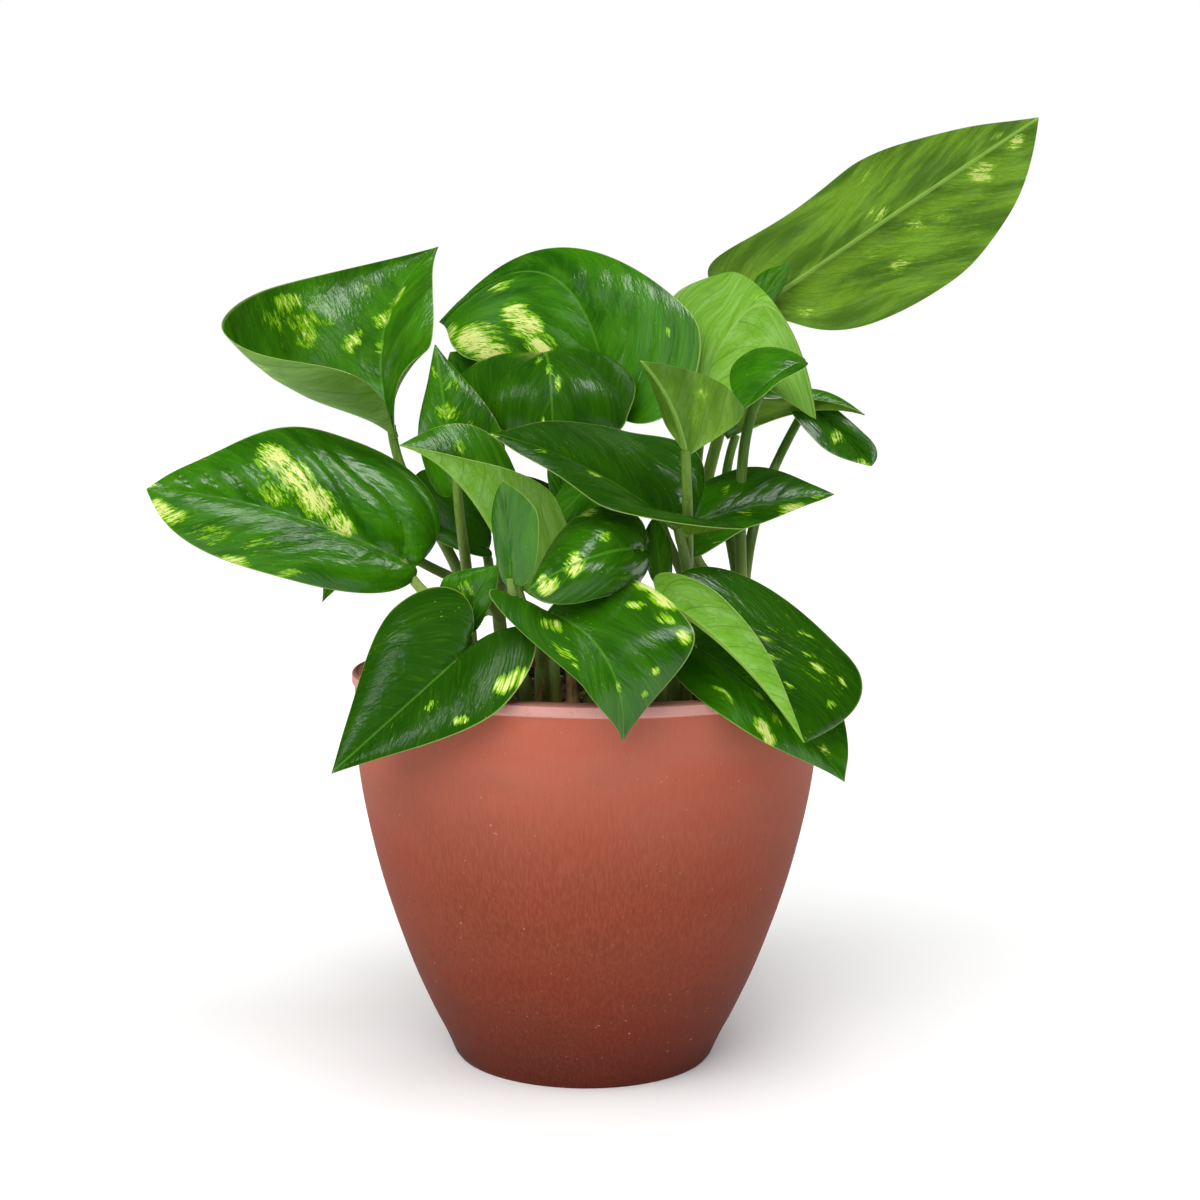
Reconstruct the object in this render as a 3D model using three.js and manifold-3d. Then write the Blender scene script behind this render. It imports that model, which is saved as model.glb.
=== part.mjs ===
// A potted pothos: a terracotta pot, its potting mix, and ten rooted cuttings with heart-shaped leaves.
// Millimetres, +Z up. The origin is the middle of the pot's flat underside, and the front faces -Y.
import * as THREE from "three";
import { mergeVertices } from "three/addons/utils/BufferGeometryUtils.js";
import Module from "manifold-3d";

// Pot
const potHeight = 148.5;
const wallThickness = 6;
const floorThickness = 7;
const rimRadius = 89.5;
const rimBandHeight = 4.7;
const rimStep = 1.1; // how far the rim band stands out from the body
const rimRound = 1.2;
const footRadius = 49;
const drainHoleRadius = 4;
const drainHoleCircle = 26;
const drainHoles = 3;
const potSides = 44;
// The body's outer radius and the height it is at, from just above the underside to just below the rim.
const bodyProfile = [
  [50.2, 1.5],
  [54, 10],
  [59.1, 20],
  [67.8, 40],
  [78, 70],
  [85.1, 100],
  [87.9, 122],
];

// Potting mix
const soilLevel = 137;
const lumpHeight = 1.6;
const fitGap = 0.3; // clearance between neighbouring solids
const soilSides = 32;
const soilRings = 5;

// Leafy stems
const stemRadius = 2.8;
const stemFoot = 112; // height of the lower end of every stem, inside the potting mix
const stemSides = 7;
const petioleRadius = 1.7;
const petioleSides = 5;
const petioleSteps = 4;
const bladeThickness = 0.9;
const shortBlade = 45; // blades below this length have fewer ribs
const longRibs = [5, 6]; // ribs from the notch to the widest place, and from there to the tip
const shortRibs = [3, 4];
const bladeCells = 2; // cells from midrib to margin
const openFold = 1.2; // below this the halves fold too sharply to share the midrib's edge
const foldLap = 0.6; // how far folded halves reach past the midrib into each other
const sliver = 0.01; // edges shorter than this are left out of the finished solids

// Where each cutting is planted, and where its short stem ends.
const cuttings = {
  left_front: { foot: [-40, -34], top: [-44, -34, 160] },
  left: { foot: [-44, 6], top: [-46, 4, 168] },
  left_back: { foot: [-34, 44], top: [-36, 46, 164] },
  front: { foot: [-16, -50], top: [-16, -50, 156] },
  middle: { foot: [6, -18], top: [6, -18, 165] },
  back: { foot: [2, 42], top: [2, 44, 168] },
  right_front: { foot: [32, -46], top: [32, -46, 158] },
  right_middle: { foot: [36, -30], top: [36, -32, 162] },
  right: { foot: [58, 8], top: [60, 10, 165] },
  right_back: { foot: [40, 44], top: [42, 46, 165] },
};

// Every leaf, by its cutting. base is where the petiole meets the blade, and tip is the far end.
// bend moves the middle of the midrib off the straight line between them. right and left reach from
// the midrib to the margin, seen from above with the tip ahead, and wide says how far along that is.
// lobes says how far each side reaches back past the base, as a share of the length or as a vector.
// full says how broad each side stays towards the tip, as a share of its reach or as a vector.
// swell is how far each side bulges upward, and arrive is the way its petiole comes in, where it is
// not upward along the midrib.
const leaves = [
  { name: "low_left", on: "left_front",
    base: [-43, -68, 163], tip: [-88, -78, 122], bend: [0, -1, 0],
    right: [-20, 20, 19], left: [20, -22, -10], wide: [0.12, 0.1],
    lobes: [0.25, [15, 0, 18]], full: [0.3, 0.3], swell: [3, 3] },
  { name: "wide_left", on: "left_front",
    base: [-64, -20, 189], tip: [-158, -45, 218], bend: [-1, 0, 6],
    right: [-5, 26, 36], left: [-6, -20, -20], wide: [0.26, 0.44],
    lobes: [[14, 2, 2], [8, 0, 0]], full: [0.4, 0.95], swell: [5, 3] },
  { name: "curled_left", on: "left_front",
    base: [-43, -50, 171], tip: [-32, -56, 193], bend: [-1, -1, 2],
    right: [5, -4, -2], left: [-14, 8, 2], wide: [0.5, 0.5],
    lobes: [0.1, 0.1], full: [0.5, 0.5], swell: [2, 2] },
  { name: "cupped_left", on: "left",
    base: [-74, 5, 236], tip: [-62, 62, 312], bend: [-13, 2, 4],
    right: [14, 4, 2], left: [-60, -10, 0], wide: [0.5, 0.45],
    lobes: [[5, -20, 20], [5, -30, 20]], full: [0.3, 0.95], swell: [2, -6] },
  { name: "shaded_left", on: "left",
    base: [-38, 0, 194], tip: [-70, 6, 212], bend: [0, -3, -2],
    right: [-4, 22, 21], left: [-1, -12, -4], wide: [0.5, 0.5],
    lobes: [0.1, 0.1], full: [0.8, 0.6], swell: [2, 2] },
  { name: "upright_left", on: "left",
    base: [-48, -27, 220], tip: [-57, -19, 271], bend: [0, -4, 0],
    right: [20, 5, -3], left: [-12, 15, -3], wide: [0.35, 0.35],
    lobes: [0.1, 0.1], full: [0.3, 0.3], swell: [2, 2] },
  { name: "tip_left", on: "left_back",
    base: [-78, 22, 201], tip: [-103, 12, 172], bend: [2, 8, 4],
    right: [-16, -1, 2], left: [4, -8, -2], wide: [0.4, 0.4],
    lobes: [0.1, 0.1], full: [0.3, 0.3], swell: [2, 2] },
  { name: "dark_left", on: "left_back",
    base: [-35, 22, 235], tip: [-55, 30, 269], bend: [1, 0, 0],
    right: [9, 4, 12], left: [-10, 0, -2], wide: [0.5, 0.5],
    lobes: [0.1, 0.1], full: [0.5, 0.5], swell: [2, 2] },
  { name: "heart_front", on: "front",
    base: [-14, -80, 179], tip: [12, -99, 138], bend: [7, -12, 8],
    right: [-8, -2, -8], left: [35, 3, 3], wide: [0.5, 0.3],
    lobes: [[-20, 4, 14], [0, -2, 3]], full: [0.3, 0.3], swell: [1, 3] },
  { name: "upright_front", on: "front",
    base: [-26, -80, 189], tip: [-29, -86, 224], bend: [0, 3, 0],
    right: [11, -10, 5], left: [-6, 4, 3], wide: [0.5, 0.5],
    lobes: [0.1, 0.1], full: [0.4, 0.5], swell: [1, 1] },
  { name: "folded_front", on: "front",
    base: [-24, -48, 184], tip: [-66, -62, 235], bend: [2, -3, 10],
    right: [8, 18, 22], left: [28, -12, 3], wide: [0.35, 0.4],
    lobes: [0.1, 0.1], full: [0.6, 0.4], swell: [2, 2] },
  { name: "round_middle", on: "middle",
    base: [19, -66, 200], tip: [-20, -92, 188], bend: [2, -11, 5],
    right: [-1, 20, 15], left: [-1, -3, -14], wide: [0.4, 0.4],
    lobes: [0.1, 0.1], full: [0.9, 0.9], swell: [4, 4] },
  { name: "slim_middle", on: "middle",
    base: [-6, -28, 199], tip: [-15, -27, 232], bend: [2, -1, 0],
    right: [4, 2, 4], left: [-6, -2, 4], wide: [0.5, 0.5],
    lobes: [0.1, 0.1], full: [0.4, 0.4], swell: [1, 1] },
  { name: "small_middle", on: "middle",
    base: [8, -22, 223], tip: [-16, -36, 202], bend: [3, -1, 6],
    right: [-8, 14, 7], left: [7, -4, -10], wide: [0.5, 0.5],
    lobes: [0.1, 0.1], full: [0.5, 0.5], swell: [2, 2] },
  { name: "domed_middle", on: "middle",
    base: [-19, 8, 267], tip: [-13, -28, 228], bend: [1, -10, 15],
    right: [-26, 6, -12], left: [30, -2, -14], wide: [0.35, 0.35],
    lobes: [[-4, -2, -6], [4, -4, -6]], full: [0.4, 0.5], swell: [3, 3] },
  { name: "tall_back", on: "back",
    base: [24, 6, 242], tip: [-60, 38, 281], bend: [16, -4, 31],
    right: [9, -8, 28], left: [-20, -6, -34], wide: [0.2, 0.6],
    lobes: [[12, 0, -6], [0, 10, 24]], full: [0.6, 0.6], swell: [3, 4] },
  { name: "hooded_right", on: "right_front",
    base: [26, -76, 183], tip: [73, -98, 138], bend: [0, -5, 6],
    right: [6, -8, 18], left: [42, 33, -4], wide: [0.25, 0.45],
    lobes: [0.15, [-6, 0, 16]], full: [0.6, 0.95], swell: [2, 3] },
  { name: "low_right", on: "right_front",
    base: [36, -58, 166], tip: [90, -74, 120], bend: [0, -10, 6],
    right: [-5, -15, -13], left: [24, 30, 9], wide: [0.3, 0.4],
    lobes: [0.15, 0.15], full: [0.3, 0.5], swell: [3, 3] },
  { name: "twisted_middle", on: "right_middle",
    base: [35, -52, 204], tip: [-34, -88, 240], bend: [0, 2, 5],
    right: [1, 29, 20], left: [-1, -18, -8], wide: [0.3, 0.4],
    lobes: [0.1, [26, -2, 7]], full: [0.3, 0.3], swell: [3, 2] },
  { name: "sliver_middle", on: "right_middle",
    base: [26, -58, 188], tip: [23, -50, 210], bend: [0, -2, 0],
    right: [5, 4, 0], left: [-5, 2, 0], wide: [0.5, 0.5],
    lobes: [0.1, 0.1], full: [0.6, 0.6], swell: [1, 1] },
  { name: "funnel_middle", on: "right_middle",
    base: [34, -60, 232], tip: [17, -72, 265], bend: [2, 0, 2],
    right: [-4, 14, 2], left: [22, 14, 8], wide: [0.5, 0.3],
    lobes: [[-3, 4, 6], [6, 3, 6]], full: [0.3, 0.5], swell: [2, 2] },
  { name: "slim_right", on: "right",
    base: [34, 4, 204], tip: [40, 6, 238], bend: [0, -2, 0],
    right: [4, 4, 4], left: [-5, 0, 4], wide: [0.5, 0.5],
    lobes: [0.1, 0.1], full: [0.5, 0.5], swell: [1, 1] },
  { name: "flat_right", on: "right",
    base: [38, -12, 205], tip: [94, 6, 216], bend: [1, 3, 2],
    right: [-4, -22, -6], left: [-2, 19, 14], wide: [0.4, 0.35],
    lobes: [[-2, -2, -10], 0.15], full: [0.5, 0.5], swell: [2, 2] },
  { name: "trough_right", on: "right",
    base: [79, -20, 266], tip: [55, -36, 248], bend: [2, 0, 4],
    right: [-11, 14, 8], left: [0, -9, -2], wide: [0.4, 0.5],
    lobes: [0.1, 0.1], full: [1.3, 0.5], swell: [2, 1], arrive: [21, -15, 30] },
  { name: "flared_right", on: "right",
    base: [55, 36, 236], tip: [111, 50, 246], bend: [2, 2, 6],
    right: [-2, -8, 6], left: [-4, 5, 10], wide: [0.45, 0.5],
    lobes: [[-9, -2, 9], [-6, 0, 8]], full: [0.5, 0.6], swell: [1, 2] },
  { name: "drooping_right", on: "right",
    base: [87, 54, 253], tip: [112, 34, 226], bend: [3, 2, -2],
    right: [-13, -10, -1], left: [8, 0, 1], wide: [0.5, 0.5],
    lobes: [0.1, 0.1], full: [0.9, 0.9], swell: [1, 1] },
  { name: "tall_right", on: "right_back",
    base: [63, 60, 285], tip: [183, 75, 368], bend: [-1, -8, 0],
    right: [-19, 12, 19], left: [9, -8, -34], wide: [0.5, 0.5],
    lobes: [[-5, 0, 5], [12, -4, 12]], full: [0.45, 0.7], swell: [3, 3] },
  { name: "arched_right", on: "right_back",
    base: [42, 8, 253], tip: [85, -6, 245], bend: [4, 19, 39],
    right: [-6, 13, 18], left: [-6, -28, -29], wide: [0.3, 0.5],
    lobes: [[-12, 0, 22], [-4, -6, 2]], full: [[6, 6, 6], 0.5], swell: [2, 3] },
  { name: "pointed_right", on: "right_back",
    base: [62, 50, 281], tip: [79, 48, 306], bend: [0, 1, 1],
    right: [7, 2, 2], left: [-4, 6, 6], wide: [0.5, 0.5],
    lobes: [0.1, 0.1], full: [0.3, 0.3], swell: [1, 1] },
  { name: "rear_middle", on: "back",
    base: [0, 60, 198], tip: [-8, 118, 165], bend: [0, 8, 10],
    right: [28, 2, -4], left: [-28, 0, -4], wide: [0.2, 0.2],
    lobes: [0.25, 0.25], full: [0.4, 0.4], swell: [3, 3] },
  { name: "rear_left", on: "left_back",
    base: [-30, 52, 216], tip: [-62, 100, 202], bend: [-3, 4, 8],
    right: [22, 16, -4], left: [-22, -14, -4], wide: [0.2, 0.2],
    lobes: [0.25, 0.25], full: [0.4, 0.4], swell: [3, 3] },
  { name: "rear_right", on: "right_back",
    base: [28, 56, 215], tip: [40, 112, 192], bend: [2, 6, 9],
    right: [27, -5, -4], left: [-26, 6, -4], wide: [0.2, 0.2],
    lobes: [0.25, 0.25], full: [0.4, 0.4], swell: [3, 3] },
  { name: "rear_high", on: "back",
    base: [-2, 50, 262], tip: [0, 108, 252], bend: [0, 4, 10],
    right: [27, 0, -6], left: [-27, 0, -6], wide: [0.2, 0.2],
    lobes: [0.25, 0.25], full: [0.4, 0.4], swell: [3, 3] },
  { name: "rear_low_right", on: "right_back",
    base: [54, 62, 168], tip: [72, 104, 140], bend: [3, 7, 7],
    right: [20, -9, -4], left: [-20, 10, -2], wide: [0.2, 0.2],
    lobes: [0.25, 0.25], full: [0.4, 0.4], swell: [3, 3] },
  { name: "rear_low_left", on: "left_back",
    base: [-46, 62, 168], tip: [-70, 100, 140], bend: [-4, 6, 7],
    right: [20, 12, -3], left: [-20, -12, -3], wide: [0.2, 0.2],
    lobes: [0.25, 0.25], full: [0.4, 0.4], swell: [3, 3] },
];

const wasm = await Module();
wasm.setup();

const vec = (p) => new THREE.Vector3(p[0], p[1], p[2]);

// A closed three.js geometry as a solid for cutting and joining.
function solidOf(geometry) {
  const bare = geometry.index ? geometry.toNonIndexed() : geometry.clone();
  bare.deleteAttribute("normal");
  bare.deleteAttribute("uv");
  const merged = mergeVertices(bare, 1e-4);
  const mesh = new wasm.Mesh({
    numProp: 3,
    vertProperties: merged.attributes.position.array,
    triVerts: new Uint32Array(merged.index.array),
  });
  return new wasm.Manifold(mesh);
}

// The named mesh of a solid.
function meshOf(name, solid, colour, roughness) {
  const made = solid.getMesh();
  const geometry = new THREE.BufferGeometry();
  geometry.setAttribute("position", new THREE.BufferAttribute(made.vertProperties, 3));
  geometry.setIndex(new THREE.BufferAttribute(made.triVerts, 1));
  const material = new THREE.MeshStandardMaterial({ color: colour, roughness, metalness: 0 });
  const mesh = new THREE.Mesh(geometry, material);
  mesh.name = name;
  return mesh;
}

// A solid of revolution about the pot's axis. The profile's points are [radius, height].
function turned(profile, sides) {
  const points = profile.map(([r, z]) => new THREE.Vector2(r, z));
  const geometry = new THREE.LatheGeometry(points, sides);
  geometry.rotateX(Math.PI / 2);
  return solidOf(geometry);
}

function post(x, y, radius, bottom, top, sides) {
  const geometry = new THREE.CylinderGeometry(radius, radius, top - bottom, sides);
  geometry.rotateX(Math.PI / 2);
  geometry.translate(x, y, (top + bottom) / 2);
  return solidOf(geometry);
}

// The pot: a tapering shell with a slightly proud rim band, a thick floor and drain holes.
function makePot() {
  const bandFoot = potHeight - rimBandHeight;
  const innerRim = rimRadius - rimStep - wallThickness;
  const outside = [
    [0, 0],
    [footRadius, 0],
    ...bodyProfile,
    [rimRadius - rimStep, bandFoot],
    [rimRadius, bandFoot + 0.4],
    [rimRadius, potHeight - rimRound],
    [rimRadius - rimRound, potHeight],
  ];
  const inside = bodyProfile.filter(([, z]) => z > floorThickness).reverse();
  const profile = [
    ...outside,
    [innerRim + rimRound, potHeight],
    [innerRim, potHeight - rimRound],
    ...inside.map(([r, z]) => [r - wallThickness, z]),
    [46.5, floorThickness],
    [0, floorThickness],
  ];
  let pot = turned(profile, potSides);
  for (let i = 0; i < drainHoles; i++) {
    const a = (i / drainHoles) * 2 * Math.PI;
    const x = drainHoleCircle * Math.cos(a);
    const y = drainHoleCircle * Math.sin(a);
    pot = pot.subtract(post(x, y, drainHoleRadius, -1, floorThickness + 1, 12));
  }
  return pot;
}

// Height of the potting mix: low lumps that fade out towards the wall.
function soilHeight(x, y, edge) {
  const lumps = Math.sin(x / 7 + 1) * Math.cos(y / 8) + 0.6 * Math.sin((x + y) / 4.5);
  return soilLevel + lumpHeight * lumps * (1 - edge ** 4);
}

// The inner radius of the pot at a height.
function innerRadius(z) {
  const profile = [...bodyProfile, [rimRadius - rimStep, potHeight - rimRound]];
  const i = profile.findIndex(([, height]) => height > z);
  const [r1, z1] = profile[i];
  const [r0, z0] = profile[i - 1];
  return r0 + ((r1 - r0) * (z - z0)) / (z1 - z0) - wallThickness;
}

// The potting mix fills the pot to just below the rim, with a hole for each stem.
function makeSoil() {
  const levels = [floorThickness + fitGap, 20, 40, 70, 100, 122, soilLevel];
  const rings = levels.map((z) => ({ r: innerRadius(z) - 2 * fitGap, z }));
  const rimR = rings.at(-1).r;
  const positions = [0, 0, levels[0]];
  for (const { r, z } of rings) pushRing(positions, r, () => z);
  for (let k = soilRings - 1; k > 0; k--) {
    const edge = k / soilRings;
    pushRing(positions, rimR * edge, (x, y) => soilHeight(x, y, edge));
  }
  positions.push(0, 0, soilHeight(0, 0, 0));
  const index = [];
  const ringCount = levels.length + soilRings - 1;
  const last = positions.length / 3 - 1;
  for (let s = 0; s < soilSides; s++) {
    const t = (s + 1) % soilSides;
    index.push(0, 1 + t, 1 + s);
    for (let k = 0; k < ringCount - 1; k++) {
      const a = 1 + k * soilSides;
      const b = a + soilSides;
      index.push(a + s, a + t, b + t, a + s, b + t, b + s);
    }
    const top = 1 + (ringCount - 1) * soilSides;
    index.push(top + s, top + t, last);
  }
  let soil = solidOf(indexed(positions, index));
  for (const { foot } of Object.values(cuttings)) {
    const hole = post(foot[0], foot[1], stemRadius + 2 * fitGap, stemFoot - fitGap, potHeight, 10);
    soil = soil.subtract(hole);
  }
  return soil;
}

function pushRing(positions, r, heightAt) {
  for (let s = 0; s < soilSides; s++) {
    const a = (s / soilSides) * 2 * Math.PI;
    const x = r * Math.cos(a);
    const y = r * Math.sin(a);
    positions.push(x, y, heightAt(x, y));
  }
}

function indexed(positions, index) {
  const geometry = new THREE.BufferGeometry();
  geometry.setAttribute("position", new THREE.Float32BufferAttribute(positions, 3));
  geometry.setIndex(index);
  return geometry;
}

// A round rod along a curve.
function rod(curve, radius, sides, steps) {
  const round = new THREE.Shape();
  for (let s = 0; s < sides; s++) {
    const a = (s / sides) * 2 * Math.PI;
    if (s) round.lineTo(radius * Math.cos(a), radius * Math.sin(a));
    else round.moveTo(radius, 0);
  }
  return solidOf(new THREE.ExtrudeGeometry(round, { steps, extrudePath: curve, curveSegments: 1 }));
}

// The midrib of a leaf: a curve from base to tip whose middle is moved by bend.
function midribOf(leaf) {
  const base = vec(leaf.base);
  const tip = vec(leaf.tip);
  const handle = base.clone().add(tip).multiplyScalar(0.5).addScaledVector(vec(leaf.bend), 2);
  return new THREE.QuadraticBezierCurve3(base, handle, tip);
}

// A vector stated as it is, or as a share of another.
function shareOf(stated, whole) {
  return Array.isArray(stated) ? vec(stated) : whole.clone().multiplyScalar(stated);
}

// One side's margin: from the notch round the lobe to the widest place, then on to the tip.
function marginOf(leaf, midrib, side) {
  const reach = vec(side ? leaf.left : leaf.right);
  const wide = leaf.wide[side];
  const base = midrib.v0;
  const start = midrib.v1.clone().sub(base).multiplyScalar(2);
  const lobe = shareOf(leaf.lobes[side], start.negate());
  const widest = midrib.getPoint(wide).add(reach);
  const round = base.clone().addScaledVector(lobe, 1.4).addScaledVector(reach, 0.25);
  const shoulder = base.clone().add(lobe).add(reach);
  const flank = midrib.getPoint(wide + 0.33 * (1 - wide)).add(reach);
  const neck = midrib.getPoint(wide + 0.72 * (1 - wide)).add(shareOf(leaf.full[side], reach));
  return {
    reach,
    back: new THREE.CubicBezierCurve3(base, round, shoulder, widest),
    front: new THREE.CubicBezierCurve3(widest, flank, neck, midrib.v2),
  };
}

// A blade as a solid: two halves, each a sheet with a thickness, that meet along the midrib.
function makeBlade(leaf) {
  const midrib = midribOf(leaf);
  const halves = [0, 1].map((side) => makeHalf(leaf, midrib, side));
  const [right, left] = halves;
  const last = right.grid.length - 1;
  const joints = right.grid.map((rib, i) => right.normals[i].clone().add(left.normals[i]));
  const open = joints.map((joint) => joint.length() > openFold);
  open[0] &&= open[1];
  open[last] &&= open[last - 1];
  for (let i = 0; i <= last; i++) {
    if (open[i]) {
      right.normals[i] = left.normals[i] = joints[i].multiplyScalar(2 / joints[i].lengthSq());
      continue;
    }
    for (const { points, grid } of halves) {
      const rib = grid[Math.min(Math.max(i, 1), last - 1)];
      const away = points[rib[0]].clone().sub(points[rib[1]]).normalize();
      points[i] = points[i].clone().addScaledVector(away, foldLap);
    }
  }
  return thickened(right).add(thickened(left));
}

// One half of a blade as a sheet: its points, rib by rib, and the triangles of its upper face.
function makeHalf(leaf, midrib, side) {
  const chord = midrib.v2.clone().sub(midrib.v0);
  const [backRibs, frontRibs] = chord.length() < shortBlade ? shortRibs : longRibs;
  const count = backRibs + frontRibs;
  const firstShare = 0.12 + 0.1 * (leaf.wide[0] + leaf.wide[1]);
  const margin = marginOf(leaf, midrib, side);
  const up = side ? chord.clone().cross(margin.reach) : margin.reach.clone().cross(chord);
  up.normalize();
  const points = [];
  const edges = [];
  for (let i = 0; i <= count; i++) {
    const back = i <= backRibs;
    const t = back ? i / backRibs : (i - backRibs) / frontRibs;
    const along = back ? firstShare * t ** 1.2 : firstShare + (1 - firstShare) * t ** 1.1;
    points.push(midrib.getPoint(along));
    edges.push((back ? margin.back : margin.front).getPoint(t));
  }
  const grid = [];
  for (let i = 0; i <= count; i++) {
    const spread = Math.min(1, edges[i].distanceTo(points[i]) / margin.reach.length());
    grid[i] = [i];
    for (let j = 1; j <= bladeCells; j++) {
      if (i === 0 || i === count) {
        grid[i].push(i);
        continue;
      }
      const u = j / bladeCells;
      const bulge = leaf.swell[side] * 4 * u * (1 - u) * spread;
      grid[i].push(points.length);
      points.push(points[i].clone().lerp(edges[i], u).addScaledVector(up, bulge));
    }
  }
  const faces = gridFaces(grid, side);
  return { points, grid, faces, normals: normalsOf(points, faces) };
}

// The upper face's triangles of one half, from its numbered grid.
function gridFaces(grid, side) {
  const faces = [];
  for (let i = 0; i < grid.length - 1; i++) {
    for (let j = 0; j < bladeCells; j++) {
      const a = grid[i][j];
      const b = grid[i + 1][j];
      const c = grid[i + 1][j + 1];
      const d = grid[i][j + 1];
      const pair = side ? [[a, c, d], [a, b, c]] : [[a, d, c], [a, c, b]];
      for (const face of pair) if (new Set(face).size === 3) faces.push(face);
    }
  }
  return faces;
}

function normalsOf(points, faces) {
  const sheet = indexed(points.flatMap((p) => [p.x, p.y, p.z]), faces.flat());
  sheet.computeVertexNormals();
  const normals = sheet.attributes.normal;
  return points.map((p, i) => new THREE.Vector3().fromBufferAttribute(normals, i));
}

// A sheet of triangles as a solid: half the thickness to each side, closed round its edge.
function thickened({ points, faces, normals }) {
  const positions = [];
  for (const way of [0.5, -0.5]) {
    points.forEach((p, i) => {
      const q = p.clone().addScaledVector(normals[i], way * bladeThickness);
      positions.push(q.x, q.y, q.z);
    });
  }
  const under = points.length;
  const index = faces.flat();
  const edges = new Set();
  for (const [a, b, c] of faces) {
    index.push(under + a, under + c, under + b);
    for (const [p, q] of [[a, b], [b, c], [c, a]]) {
      if (!edges.delete(q + "," + p)) edges.add(p + "," + q);
    }
  }
  for (const edge of edges) {
    const [a, b] = edge.split(",").map(Number);
    if (a < b) index.push(b, a, under + a, b, under + a, under + b);
    else index.push(b, a, under + b, a, under + a, under + b);
  }
  return solidOf(indexed(positions, index));
}

// The petiole rises from the stem and runs a little way under the blade as the root of its midrib.
function makePetiole(leaf, root) {
  const midrib = midribOf(leaf);
  const end = midrib.getPoint(0.05);
  const rise = end.z - root.z;
  const ahead = midrib.v1.clone().sub(midrib.v0).normalize();
  const arrive = leaf.arrive ? vec(leaf.arrive) : ahead.add(new THREE.Vector3(0, 0, 2));
  arrive.normalize().multiplyScalar(0.35 * rise + 6);
  const low = root.clone().add(new THREE.Vector3(0, 0, 0.4 * rise + 4));
  const curve = new THREE.CubicBezierCurve3(root, low, end.clone().sub(arrive), end);
  return rod(curve, petioleRadius, petioleSides, petioleSteps);
}

// One cutting: a short stem in the mix, its petioles one above another, and their blades.
function makeCutting(name) {
  const { foot, top } = cuttings[name];
  const line = new THREE.CatmullRomCurve3([
    new THREE.Vector3(foot[0], foot[1], stemFoot),
    new THREE.Vector3(foot[0], foot[1], potHeight - 6),
    vec(top),
  ]);
  let cutting = rod(line, stemRadius, stemSides, 5);
  const own = leaves.filter((leaf) => leaf.on === name);
  own.forEach((leaf, i) => {
    const root = line.getPoint(0.84 + (0.12 * (i + 1)) / own.length);
    cutting = cutting.add(makePetiole(leaf, root)).add(makeBlade(leaf));
  });
  return mainBody(cutting);
}

// The largest body of a solid, without the slivers that joins can leave.
function mainBody(solid) {
  const bodies = solid.simplify(sliver).decompose();
  return bodies.reduce((a, b) => (a.volume() > b.volume() ? a : b));
}

const leafGreen = 0x2f6b1f;
const terracotta = 0xa5604a;
const mixBrown = 0x3a2a1f;

const plant = new THREE.Group();
plant.add(meshOf("pot", makePot(), terracotta, 0.85));
plant.add(meshOf("potting_mix", makeSoil(), mixBrown, 1));
for (const name of Object.keys(cuttings)) {
  plant.add(meshOf("vine_" + name, makeCutting(name), leafGreen, 0.4));
}

export default plant;
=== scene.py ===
import math

import bmesh
import bpy
import numpy as np
from mathutils import Matrix, Vector


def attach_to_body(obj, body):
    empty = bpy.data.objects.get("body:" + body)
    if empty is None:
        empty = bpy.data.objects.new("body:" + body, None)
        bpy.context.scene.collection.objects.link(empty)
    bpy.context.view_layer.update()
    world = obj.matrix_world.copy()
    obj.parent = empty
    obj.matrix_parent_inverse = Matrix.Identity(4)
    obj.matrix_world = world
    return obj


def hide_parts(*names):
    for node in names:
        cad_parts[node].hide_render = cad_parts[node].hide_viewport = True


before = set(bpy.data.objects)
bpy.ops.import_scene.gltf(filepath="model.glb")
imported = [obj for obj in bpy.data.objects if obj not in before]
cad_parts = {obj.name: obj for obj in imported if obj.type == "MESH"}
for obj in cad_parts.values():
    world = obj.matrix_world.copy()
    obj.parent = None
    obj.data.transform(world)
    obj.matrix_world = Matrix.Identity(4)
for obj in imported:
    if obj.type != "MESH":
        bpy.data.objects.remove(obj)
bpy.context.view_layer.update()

# A potted pothos. Sizes in the dictionaries are millimetres and become metres when a mesh is made.
mm = 0.001


def newObject(name, data):
    made = bpy.data.objects.new(name, data)
    bpy.context.collection.objects.link(made)
    return made


def meshObject(name, points, faces):
    # points are in millimetres
    mesh = bpy.data.meshes.new(name)
    points = (np.asarray(points, float) * mm).tolist()
    mesh.from_pydata(points, [], [[int(n) for n in face] for face in faces])
    mesh.polygons.foreach_set("use_smooth", [True] * len(mesh.polygons))
    mesh.update()
    return newObject(name, mesh)


def addAttribute(mesh, name, values):
    # one float or one vector for each vertex
    single = values.ndim == 1
    layer = mesh.attributes.new(name, "FLOAT" if single else "FLOAT_VECTOR", "POINT")
    layer.data.foreach_set("value" if single else "vector", values.ravel())


def sharpEdges(mesh, degrees):
    work = bmesh.new()
    work.from_mesh(mesh)
    for edge in work.edges:
        edge.smooth = len(edge.link_faces) == 2 and edge.calc_face_angle(0) < math.radians(degrees)
    work.to_mesh(mesh)
    work.free()


def applyModifiers(piece):
    # a plain mesh takes the place of the mesh or curve that the modifiers start from
    depsgraph = bpy.context.evaluated_depsgraph_get()
    mesh = bpy.data.meshes.new_from_object(piece.evaluated_get(depsgraph))
    name = piece.name
    bpy.data.objects.remove(piece)
    return newObject(name, mesh)


def setSocket(socket, value):
    if isinstance(value, bpy.types.NodeSocket):
        socket.id_data.links.new(value, socket)
    else:
        socket.default_value = value


def put(tree, kind, inputs=None, **settings):
    # adds a node, and links or sets its inputs
    node = tree.nodes.new(kind)
    for key, value in settings.items():
        setattr(node, key, value)
    for key, value in (inputs or {}).items():
        setSocket(node.inputs[key], value)
    return node


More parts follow.
